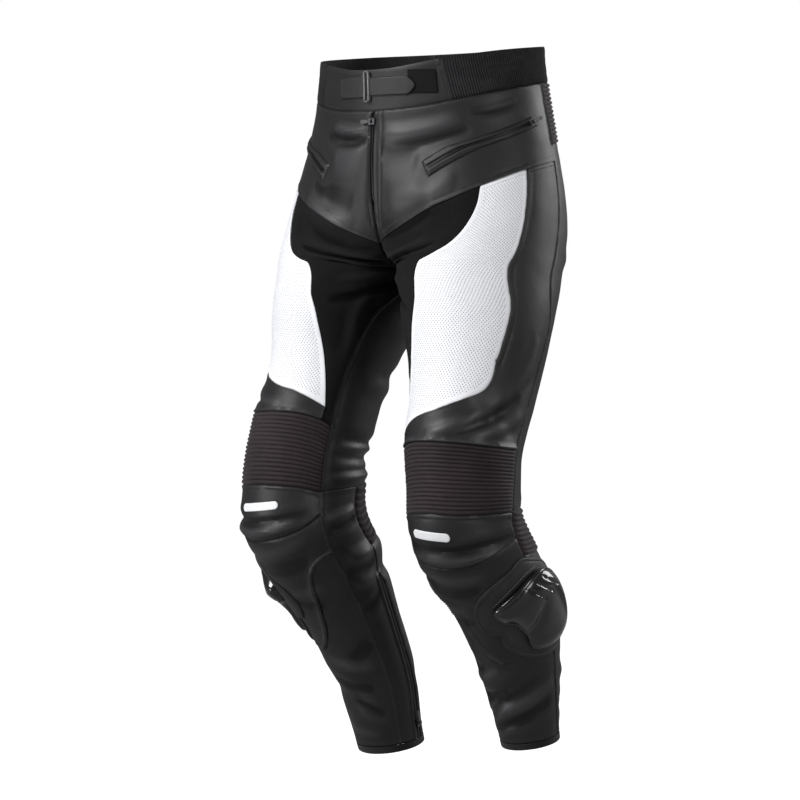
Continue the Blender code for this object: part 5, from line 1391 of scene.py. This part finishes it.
def patch_piece(name, finder, side, outline_places, step, rise, floor, finish, ways=(0.0005, 0.0012, 0.0022), sharp=35):
    """A closed piece on the cloth. rise(flat points, distance from the outline) is its height over its underside."""
    ring = walked_left(laid_flat(side, outline_places))
    n = len(ring)
    flat_top, faces = filled(ring, np.vstack([rows_in(ring, ways), points_inside(ring, step, max(ways) + 0.0006)]))
    points, normals = finder(from_flat(side, flat_top))
    away = distance_to(flat_top, ring)
    away[:n] = 0
    outer = points + normals * (floor + rise(flat_top, away))[:, None]
    flat_low, low_faces = filled(ring, points_inside(ring, 0.012, 0.004))
    low, low_normals = finder(from_flat(side, flat_low))
    low = low + low_normals * floor
    seen = facing(outer, normals, faces)
    if not seen:
        faces, low_faces = faces[:, ::-1], low_faces[:, ::-1]
    # The outline's edge is darkened as painted shade, and the top beyond 2 mm is rubbed a little lighter.
    crest = np.concatenate([np.minimum(away * 1000, 2) - 1, np.zeros(len(low))])
    piece = closed_wall_piece(name, outer, faces, low, low_faces, n, finish, np.vstack([flat_top, flat_low]), crest,
                              None, 1 if seen else -1)
    if sharp != 35:
        piece.data.set_sharp_from_angle(angle=math.radians(sharp))
    return piece, ring


def rounded(away, height, radius, start=0.35):
    """Height over the underside of a piece whose edge is rounded off."""
    t = np.clip(away / radius, 0, 1)
    return height * (start + (1 - start) * np.sqrt(1 - (1 - t) ** 2))


def strip_grid(start, end, offsets, step, trim=0.0, slant=0.0):
    """Rows of places along a straight strip, one row for each offset to its side; slant sets its ends aslant."""
    a, _, length, ahead, aside = straight(start, end)
    stations = np.linspace(trim, length - trim, max(2, round((length - 2 * trim) / step)) + 1)
    grid = np.array([[a + ahead * (s + slant * off) + aside * off for s in stations] for off in offsets])
    return grid / np.array([SHEET_WIDTH, 1.0])


def walk_along(finder, places, pitch, lift=0.0):
    """Evenly spaced points on the cloth along a line of places, with their directions ahead, aside and out."""
    points, normals = finder(places)
    lengths = run_lengths(points)
    count = max(2, int(lengths[-1] / pitch))
    stops = (np.arange(count) + 0.5) * lengths[-1] / count
    middles = at_lengths(stops, lengths, points)
    out = at_lengths(stops, lengths, normals)
    out /= np.linalg.norm(out, axis=1)[:, None]
    ahead = at_lengths(stops + 0.0005, lengths, points) - middles
    last = np.linalg.norm(ahead, axis=1) < 1e-7
    ahead[last] = ahead[np.flatnonzero(~last)[-1]]
    ahead -= out * (ahead * out).sum(axis=1)[:, None]
    ahead /= np.linalg.norm(ahead, axis=1)[:, None]
    return middles + out * lift, ahead, np.cross(out, ahead), out


def blocks_piece(name, frames, size, finish, aside=0.0, taper=0.7, body="garment"):
    """A row of small blocks. size: (half length, half width, low, high); they alternate by aside to left and right."""
    middles, ahead, across, out = frames
    n = len(middles)
    half_length, half_width, low, high = size
    shift = (aside * np.where(np.arange(n) % 2, 1, -1))[:, None]
    corners = []
    for level, share in ((low, 1.0), (high, taper)):
        for a, b in ((-1, -1), (1, -1), (1, 1), (-1, 1)):
            corners.append(middles + ahead * (a * half_length * share) + across * (b * half_width * share + shift)
                           + out * level)
    points = np.stack(corners, axis=1).reshape(-1, 3)
    box = ((3, 2, 1, 0), (4, 5, 6, 7), (0, 1, 5, 4), (1, 2, 6, 5), (2, 3, 7, 6), (3, 0, 4, 7))
    faces = [tuple(8 * k + i for i in face) for k in range(n) for face in box]
    return mesh_piece(name, points, faces, finish, None, None, None, body, sharp=30)


# ---- waistband
# Smooth leather across the front, scooped at the centre, and a wide knit elastic round the sides and back whose
# fine ribs run up and down. Both are sewn to the hip fronts and the lumbar panel.
ELASTIC_TOP_U = 0.203
ELASTIC_LOW_U = 0.219
ELASTIC_PITCH = 0.0036


def band_places(starts, stops, columns, rows, top, bottom):
    """Places between two edges: u from starts to stops (top and bottom values), drops from top(u) to bottom(u)."""
    grid = np.empty((rows, columns, 2))
    for r, t in enumerate(np.linspace(0, 1, rows)):
        u = np.linspace(starts[0] * (1 - t) + starts[1] * t, stops[0] * (1 - t) + stops[1] * t, columns)
        grid[r, :, 0] = u
        grid[r, :, 1] = top(u) * (1 - t) + (bottom(u) - CLOSED_GAP) * t
    return grid


grid = band_places((-ELASTIC_TOP_U, -ELASTIC_LOW_U), (ELASTIC_TOP_U, ELASTIC_LOW_U), 64, 15, waist_top, waist_seam)
low = np.linspace(0, 1, 15)[:, None] * np.ones((1, 64))
edge_roll = 0.0007 * bell(low * 45, 2.5, 2.0) - 0.0006 * bell(low * 45, 0.0, 1.2)
buckle = 0.0012 * np.sin(np.linspace(0, 19, 64))[None, :] * np.sin(low * math.pi) * np.linspace(0.4, 1, 64)[None, ::-1]
band_rise = edge_roll + 0.35 * buckle - 0.0012 * bell((1 - low) * 45, 0, 1.4)
band_rise[:, [0, -1]] -= 0.0006
band_rise[:, [1, -2]] += 0.0007
# The crest values are the rise, so the dents along its edges get painted shade.
piece, ring = grid_piece("waistband_leather", both_sides, "left", grid, band_rise, 0.0021, black_leather,
                         band_rise * 1000)
waistband_cut = ring

around = 2 - 2 * ELASTIC_TOP_U
columns = round(around * float(girth("left", 0.0)) / ELASTIC_PITCH) * 6 + 1
grid = band_places((ELASTIC_TOP_U, ELASTIC_LOW_U), (2 - ELASTIC_TOP_U, 2 - ELASTIC_LOW_U), columns, 13, waist_top,
                   waist_seam)
rise = np.empty(grid.shape[:2])
for r in range(13):
    drift = np.array([noise.noise(Vector((c * 0.018, r * 0.9, 2.0))) for c in range(columns)])
    phase = (np.arange(columns) / 6 + 0.18 * drift) % 1.0
    rise[r] = 0.0014 * np.sin(np.pi * phase) ** 0.8 - 0.0007 + 0.0004 * drift
rise[0] -= 0.0004
rise[-1] -= 0.0010
# Crest values 0.35 below the rise give the grooves between the knit ribs painted shade.
piece, ring = grid_piece("waistband_elastic_knit", both_sides, "left", grid, rise, 0.0019, knit, rise * 1400 - 0.35)
declare_cut(ring, ["waistband_elastic"])

# ---- waist strap
# A base stitched to the waistband, a metal loop through its end, and a pointed tab that closes to the wearer's
# left over a hook-and-loop pad. The tab lies flat and stays as it is shown.
STRAP_TOP = 0.0285
STRAP_BOTTOM = 0.0530
STRAP_STEP = 0.0028


def band_outline(starts, top, bottom, point=0.0, point_from=0.0):
    """A strip on the waistband between two signed u, and how much its far end is pointed."""
    u = np.linspace(starts[0], starts[1], 40)
    taper = np.clip((u - point_from) / max(starts[1] - point_from, 1e-6), 0, 1) ** 1.3 * point if point else 0 * u
    over = np.stack([u, top + taper], axis=1)
    under = np.stack([u, bottom - taper], axis=1)
    return spaced("left", np.vstack([over, under[::-1]]), STRAP_STEP, closed=True)


base_outline = band_outline((-0.112, -0.022), STRAP_TOP - 0.003, STRAP_BOTTOM + 0.002)
tab_outline = band_outline((-0.003, 0.128), STRAP_TOP, STRAP_BOTTOM, 0.010, 0.107)
pad_outline = band_outline((0.108, 0.186), 0.0200, 0.0520)


def crinkled(flat, size):
    return size * np.array([noise.noise(Vector((x * 60, y * 60, 3.0))) for x, y in flat])


def base_rise(flat, away):
    """Two stitched-down rows round the base, and the folds of its lower corner."""
    mm = away * 1000
    return rounded(away, 0.0018, 0.0012) - 0.0004 * bell(mm, 3.4, 0.7) + crinkled(flat, 0.0003)


piece, ring = patch_piece("strap_base_leather", both_sides, "left", base_outline, STRAP_STEP, base_rise,
                          LAID_GAP + 0.0004, black_leather)
declare_cut(ring, ["strap_base"])


def tab_rise(flat, away):
    mm = away * 1000
    return rounded(away, 0.0020, 0.0014) - 0.0003 * bell(mm, 3.0, 0.7) + crinkled(flat, 0.0003)


piece, ring = patch_piece("strap_tab_leather", both_sides, "left", tab_outline, STRAP_STEP, tab_rise,
                          2 * LAID_GAP + 0.0010, black_leather)
declare_cut(ring, ["strap_tab"])


def pad_rise(flat, away):
    return rounded(away, 0.0010, 0.0008) + 0.00012 * np.sin(flat[:, 0] * 2900) * np.sin(flat[:, 1] * 2900)


piece, ring = patch_piece("strap_hook_pad_cloth", both_sides, "left", pad_outline, 0.0016, pad_rise, LAID_GAP,
                          stretch_cloth)
declare_cut(ring, ["strap_hook_pad"])

# The loop: a flat ring of round wire, standing across the strap.
RING_PLACE = (0.0125, 0.0405)
RING_HALF = (0.0201, 0.0035)
WIRE = 0.0018
places, normals = sheet("right", [RING_PLACE, (RING_PLACE[0], RING_PLACE[1] + 0.02)])
out = normals[0]
down = places[1] - places[0]
down -= out * (down @ out)
down /= np.linalg.norm(down)
over = np.cross(out, down)
middle = places[0] + out * (3 * LAID_GAP + 0.0026)
corner = 0.0020
WIRE_SIDES = 10
track = []
for side_a, side_b, start in ((1, 1, 0), (-1, 1, 90), (-1, -1, 180), (1, -1, 270)):
    for turn in np.radians(start + np.linspace(0, 90, 6)):
        track.append(((RING_HALF[0] - corner) * side_a + corner * math.cos(turn),
                      (RING_HALF[1] - corner * 0.9) * side_b + corner * 0.9 * math.sin(turn)))
track = np.array(track)
n = len(track)
heading = np.roll(track, -1, axis=0) - np.roll(track, 1, axis=0)
heading /= np.linalg.norm(heading, axis=1)[:, None]
ring_points = []
for k in range(n):
    sideways = np.array([heading[k, 1], -heading[k, 0]])
    for turn in np.linspace(0, 2 * math.pi, WIRE_SIDES, endpoint=False):
        across_a, across_b = track[k] + sideways * WIRE * 0.75 * math.cos(turn)
        ring_points.append(middle + down * across_a + over * across_b + out * (WIRE * math.sin(turn)))
ring_faces = []
for k in range(n):
    this, following = k * WIRE_SIDES, (k + 1) % n * WIRE_SIDES
    for i in range(WIRE_SIDES):
        j = (i + 1) % WIRE_SIDES
        ring_faces.append((this + i, this + j, following + j, following + i))
loop = mesh_piece("strap_loop", ring_points, ring_faces, pale_metal)
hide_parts("strap_ring")
declare_cut(waistband_cut, ["waistband_front"])


# ---- zips
# A welt of two rolled lips over each pocket, a tape behind the fly's slit, and a zip up the inner side of each
# calf. Only the pulls swing: every slider stays where it is shown, because moving one would part the rows of
# teeth that are modelled closed.
POCKET_FROM = (0.150, 0.139)
POCKET_TO = (0.478, 0.089)
TEETH_PITCH = 0.0015
LIP_OFFSETS = np.array((-6.5, -6.1, -5.3, -4.4, -3.5, -2.7, -2.1, -1.7, -1.4, 1.4, 1.7, 2.1, 2.7, 3.5, 4.4, 5.3, 6.1,
                        6.5)) * 0.001
LIP_RISES = np.array((0.7, 1.5, 2.0, 2.3, 2.7, 3.0, 2.8, 2.2, 1.0, 1.0, 2.2, 2.8, 3.0, 2.7, 2.3, 2.0, 1.5, 0.7)) * 0.001
for leg in LEG_ROWS:
    grid = strip_grid(POCKET_FROM, POCKET_TO, LIP_OFFSETS, 0.0026, 0.0, 0.55)
    stations = grid.shape[1]
    wobble = np.array([noise.noise(Vector((k * 0.16, 0.0, 4.0))) for k in range(stations)])
    closing = np.clip(np.minimum(np.arange(stations), stations - 1 - np.arange(stations)) * 2.6 / 5.0, 0, 1)
    rise = LIP_RISES[:, None] * (1 - 0.10 * (1 + wobble[None, :]) * (LIP_RISES[:, None] > 0.0015))
    flat_end = np.where(np.abs(LIP_OFFSETS) < 0.0025, 0.0026, LIP_RISES)[:, None]
    rise = rise * closing + np.minimum(flat_end, 0.0026) * (1 - closing)
    rise[:, [0, -1]] *= 0.4
    # Crest values from 2 mm below the lip tops give the slot and the lips' outer feet painted shade.
    piece, ring = grid_piece(f"pocket_welt_{leg}_lips", ON_LEG[leg], leg, grid, rise, 0.0, black_leather,
                             (rise - 0.0020) * 1400, LAID_GAP, 0.012)
    declare_cut(ring, [f"pocket_welt_{leg}"], 1.3)
    line = strip_grid(POCKET_FROM, POCKET_TO, [0.0], 0.002, 0.0060)[0]
    frames = walk_along(ON_LEG[leg], line, TEETH_PITCH)
    teeth = blocks_piece(f"pocket_teeth_{leg}", frames, (0.00055, 0.0009, 0.0010, 0.0026), tooth_plastic, 0.00035)

    line = np.stack([np.full(120, ZIP_MIDDLE), np.linspace(ZIP_TOP + 0.007, HEM_SEAM - 0.002, 120)], axis=1)
    frames = walk_along(ON_LEG[leg], line, TEETH_PITCH)
    teeth = blocks_piece(f"calf_teeth_{leg}", frames, (0.00055, 0.0014, -0.0008, 0.0003), tooth_plastic, 0.0006)

FLY_DEEP = 0.0015 + 3 * SEAM_GAP


def behind(places):
    points, normals = both_sides(places)
    return points - normals * FLY_DEEP, normals


across = np.linspace(-0.0130, 0.0130, 9)
down = np.linspace(0.080, 0.157, 26)
grid = np.stack(np.meshgrid(across, down), axis=2)
piece, ring = grid_piece("fly_tape", behind, "left", grid, np.zeros(grid.shape[:2]), 0.0013, zip_tape)
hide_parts("fly_zip")
line = np.stack([np.zeros(80), np.linspace(0.082, 0.155, 80)], axis=1)
teeth = blocks_piece("fly_teeth", walk_along(behind, line, 0.0016), (0.00055, 0.0011, 0.0, 0.0013), tooth_plastic,
                     0.0005)

for zip_name in ("pocket_left", "pocket_right", "calf_left", "calf_right", "fly"):
    for part in ("slider", "pull"):
        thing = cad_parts[f"{zip_name}_{part}"]
        for held in thing.material_slots:
            held.material = dark_metal
        edges = thing.modifiers.new("worn edges", "BEVEL")
        edges.width = 0.00025
        edges.segments = 2
        edges.limit_method = "ANGLE"


# ---- knee bar, slider and its landing panel
# A plain white rubber bar on each knee, and on the outer side of each shin a hard glossy slider that is held on a
# padded landing panel. The slider is one moulding with three grooves at its outer top corner.
TAB_FROM = (0.110, 0.622)
TAB_TO = (0.235, 0.627)
LANDING_RISE = 0.0020
LANDING_OUTLINE = (
    (0.455, 0.677), (0.405, 0.670), (0.352, 0.681), (0.285, 0.693), (0.228, 0.707), (0.196, 0.724), (0.186, 0.745),
    (0.208, 0.762), (0.246, 0.764), (0.243, 0.780), (0.276, 0.797), (0.330, 0.809), (0.400, 0.816), (0.470, 0.811),
    (0.530, 0.790), (0.560, 0.755), (0.556, 0.718), (0.515, 0.692),
)
PUCK_OUTLINE = (
    (0.262, 0.722), (0.325, 0.708), (0.392, 0.696), (0.448, 0.693), (0.490, 0.704), (0.520, 0.730), (0.522, 0.762),
    (0.488, 0.786), (0.432, 0.797), (0.372, 0.798), (0.330, 0.790), (0.322, 0.768), (0.300, 0.748), (0.270, 0.740),
)
PUCK_EDGE = 0.0065
PUCK_CROWN = 0.0105
PUCK_SLOPE = 0.022
GROOVES = ((0.372, 0.7045), (0.400, 0.7015), (0.428, 0.6995))  # where the three grooves start; they run down and out
GROOVE_RUN = (0.62, 0.785)
GROOVE_LENGTH = 0.030
VALLEY = ((0.318, 0.772), (0.405, 0.728))  # the fold that parts the upper lobe from the lower


def landing_line(side):
    return spaced(side, curve_through(LANDING_OUTLINE, closed=True), 0.0030, closed=True)


def bar_rise(flat, away):
    return rounded(away, 0.0018, 0.0014, 0.4)


def landing_rise(flat, away):
    mm = away * 1000
    seam = 0.0007 * bell(mm, 6.0, 0.9)
    return rounded(away, LANDING_RISE, 0.0022) - seam + 0.0004 * bell(mm, 3.0, 1.6) + crinkled(flat, 0.0002)


def puck_rise(flat, away):
    """A rim with a bead along it, a domed face, a shallow step inside the rim, and the grooves."""
    mm = away * 1000
    dome = PUCK_CROWN * np.sin(np.clip(away / PUCK_SLOPE, 0, 1) * math.pi / 2) ** 0.9
    height = PUCK_EDGE * (0.82 + 0.18 * np.clip(mm / 1.0, 0, 1)) + dome
    height += 0.0006 * bell(mm, 1.6, 0.9) - 0.0009 * bell(mm, 3.6, 0.8)
    run = np.array(GROOVE_RUN)
    for start in laid_flat("left", GROOVES):
        rel = flat - start
        along = rel @ run
        off = rel @ np.array([-run[1], run[0]])
        ends = np.clip(np.minimum(along, GROOVE_LENGTH - along) / 0.003, 0, 1)
        height -= 0.0022 * bell(off, 0, 0.0014) * ends * np.clip((mm - 2.0) / 2, 0, 1)
    start, end = laid_flat("left", VALLEY)
    run = (end - start) / np.hypot(*(end - start))
    along = (flat - start) @ run / np.hypot(*(end - start))
    off = (flat - start) @ np.array([-run[1], run[0]])
    fade = np.clip((1.15 - along) / 0.5, 0, 1) * np.clip((along + 0.3) / 0.3, 0, 1)
    height -= 0.0042 * bell(off, 0, 0.0065) * fade * np.clip((mm - 3.0) / 5, 0, 1)
    return height


for leg in LEG_ROWS:
    bar_line = spaced(leg, strip_outline(TAB_FROM, TAB_TO, 0.0050), 0.0016, closed=True)
    piece, ring = patch_piece(f"knee_bar_{leg}", ON_LEG[leg], leg, bar_line, 0.0022, bar_rise, LAID_GAP, white_rubber,
                              (0.0004, 0.0010, 0.0018))
    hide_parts(f"knee_tab_{leg}")
    piece, ring = patch_piece(f"slider_landing_patch_{leg}", ON_LEG[leg], leg, landing_line(leg), 0.0030, landing_rise,
                              LAID_GAP, matte_plastic, (0.0006, 0.0014, 0.0026, 0.0050, 0.0060, 0.0070))
    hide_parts(f"slider_landing_{leg}")
    puck_line = spaced(leg, curve_through(PUCK_OUTLINE, closed=True), 0.0022, closed=True)
    piece, ring = patch_piece(f"knee_slider_{leg}", ON_LEG[leg], leg, puck_line, 0.0016, puck_rise,
                              2 * LAID_GAP + LANDING_RISE, glossy_plastic,
                              (0.0006, 0.0012, 0.0020, 0.0029, 0.0038, 0.0048))
    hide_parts(f"slider_puck_{leg}")

# ---- hem bindings
# A stretch binding 9 mm deep, folded over both faces of each leg's lower edge, with its seam showing at the top.
# Its two layers are one closed profile that runs round the hem.
HEM_STAND = 0.0006
# (drop above the lowest edge, how far inside the outer face) in millimetres, from the top outside and round
FOLDED_PROFILE = (
    (9.3, 0.10), (8.6, 0.0), (7.6, 0.05), (6.6, 0.30), (5.6, 0.05), (4.0, 0.0), (2.0, 0.0), (0.9, 0.10), (0.3, 0.45),
    (0.0, 1.2), (0.3, 1.95), (0.9, 2.3), (2.5, 2.4), (6.0, 2.4), (9.3, 2.35), (9.3, 1.7), (6.0, 1.65), (2.6, 1.6),
    (1.4, 1.2), (2.6, 0.8), (6.0, 0.80), (9.3, 0.75),
)
for leg in LEG_ROWS:
    around = np.vstack([seams[leg][name][:-1] for name in ("hem_shin", "hem_calf", "hem_zip", "hem_inner")])
    count = len(around)
    rings = []
    for drop, depth in FOLDED_PROFILE:
        places = np.stack([around[:, 0], np.full(count, HEM - drop * 0.001)], axis=1)
        points, normals = sheet(leg, places)
        sway = np.array([noise.noise(Vector(p) * 70) for p in points]) * (0.0003 if depth < 0.5 else 0)
        rings.append(points + normals * (HEM_STAND - depth * 0.001 + sway)[:, None])
    cells = []
    rows = len(rings)
    for r in range(rows):
        for i in range(count):
            j = (i + 1) % count
            a, b = r * count + i, r * count + j
            c, d = (r + 1) % rows * count + j, (r + 1) % rows * count + i
            cells.append((a, b, c, d))
    solid = np.vstack(rings)
    a, b, c = (solid[[cell[k] for cell in cells[:count]]] for k in range(3))
    outwards = (sheet(leg, np.stack([around[:, 0], np.full(count, HEM)], axis=1))[1])
    if np.sum(np.cross(b - a, c - a) * outwards) < 0:
        cells = [cell[::-1] for cell in cells]
    round_hem = run_lengths(rings[0])
    strip = np.concatenate([np.stack([round_hem, np.full(count, r * 0.0018)], axis=1) for r in range(rows)])
    piece = mesh_piece(f"hem_binding_{leg}", solid, cells, binding_cloth, strip, np.zeros(len(strip)))
    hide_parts(f"hem_band_{leg}")


# ---- topstitching
# Black thread along the lapped seams, on the waistband, beside the fly and round the slider's landing panel, and
# a row of paler thread above the slider.
STITCH_PITCH = 0.0036
LANDING_STITCHES_IN = 0.0040
PALE_PITCH = 0.0030
PALE_ABOVE_PUCK = 0.0042
STITCH_RING = ((-1.0, 0.0), (-0.62, 0.72), (0.62, 0.72), (1.0, 0.0), (0.62, -0.72), (-0.62, -0.72))


def stitched(name, frames, thread, half_length=0.0014, half_width=0.00046, peak=0.00055):
    """A row of stitches: small rounded beads that lie in the dent of the seam."""
    middles, ahead, across, out = (np.vstack(part) for part in zip(*frames, strict=True))
    n = len(middles)
    wander = 0.08 * np.sin(np.arange(n) * 2.4)[:, None]
    ahead = ahead + across * wander
    levels = [middles + ahead * (a * half_length) + across * (b * half_width) - out * 0.0002 for a, b in STITCH_RING]
    levels += [middles + ahead * (a * half_length) + out * peak for a in (-0.55, 0.55)]
    points = np.stack(levels, axis=1).reshape(-1, 3)
    faces = []
    for k in range(n):
        base = 8 * k
        for face in ((0, 5, 6), (0, 6, 1), (1, 6, 7, 2), (2, 7, 3), (3, 7, 4), (4, 7, 6, 5), (5, 4, 3, 2, 1, 0)):
            faces.append(tuple(base + i for i in face[::-1]))
    piece = mesh_piece(name, points, faces, thread, sharp=0)
    return piece


for leg in LEG_ROWS:
    frames = []
    for (panel, seam), rows in TOPSTITCH.items():
        line_places = seams[leg][seam]
        if len(line_places) < 6 or not rows:
            continue
        line = laid_flat(leg, line_places)
        ring = laid_flat(leg, outline(seams[leg], PANELS[panel]))
        for way in rows:
            for turn in (1.0, -1.0):
                row = rows_along(line, [way * 0.001], turn)[0]
                row = row[inside(row, ring) & (distance_to(row, ring) > 0.00085 * way)]
                if len(row) > 5:
                    frames.append(walk_along(lambda p: shaped(leg, panel, p)[:2], from_flat(leg, row), STITCH_PITCH))
    for row in FLY_ROWS_STITCHED[leg]:
        frames.append(walk_along(lambda p: shaped(leg, "yoke", p)[:2], row, STITCH_PITCH))
    stitched(f"topstitching_{leg}", frames, dark_thread)

    row = rows_in(walked_left(laid_flat(leg, landing_line(leg))), [LANDING_STITCHES_IN])
    frames = walk_along(ON_LEG[leg], from_flat(leg, row), STITCH_PITCH, LAID_GAP + LANDING_RISE + 0.0002)
    stitched(f"landing_stitches_{leg}", [frames], dark_thread)
    row = laid_flat(leg, spaced(leg, curve_through(PUCK_OUTLINE[:4]), PALE_PITCH)) - np.array([0.0, PALE_ABOVE_PUCK])
    frames = walk_along(ON_LEG[leg], from_flat(leg, row), PALE_PITCH, LAID_GAP + LANDING_RISE + 0.0001)
    stitched(f"slider_stitches_{leg}", [frames], pale_thread, 0.0010, 0.0004, 0.0004)

band_rows = []
for u_from, u_to, top, bottom in (
    (-ELASTIC_LOW_U + 0.016, -0.116, "low", 0.0040), (-0.018, ELASTIC_LOW_U - 0.012, "low", 0.0040),
    (-ELASTIC_TOP_U + 0.008, ELASTIC_TOP_U - 0.008, "top", 0.0045),
):
    u = np.linspace(u_from, u_to, 80)
    drop = waist_seam(u) - bottom if top == "low" else waist_top(u) + bottom
    band_rows.append(walk_along(both_sides, np.stack([u, drop], axis=1), STITCH_PITCH, 0.0002))
for outline_places, lift, way in (
    (base_outline, 2 * LAID_GAP + 0.0016, 0.0034), (tab_outline, 2 * LAID_GAP + 0.0029, 0.0030),
):
    row = rows_in(walked_left(laid_flat("left", outline_places)), [way])
    band_rows.append(walk_along(both_sides, from_flat("left", row), STITCH_PITCH, lift))
stitched("waistband_stitches", band_rows, dark_thread)
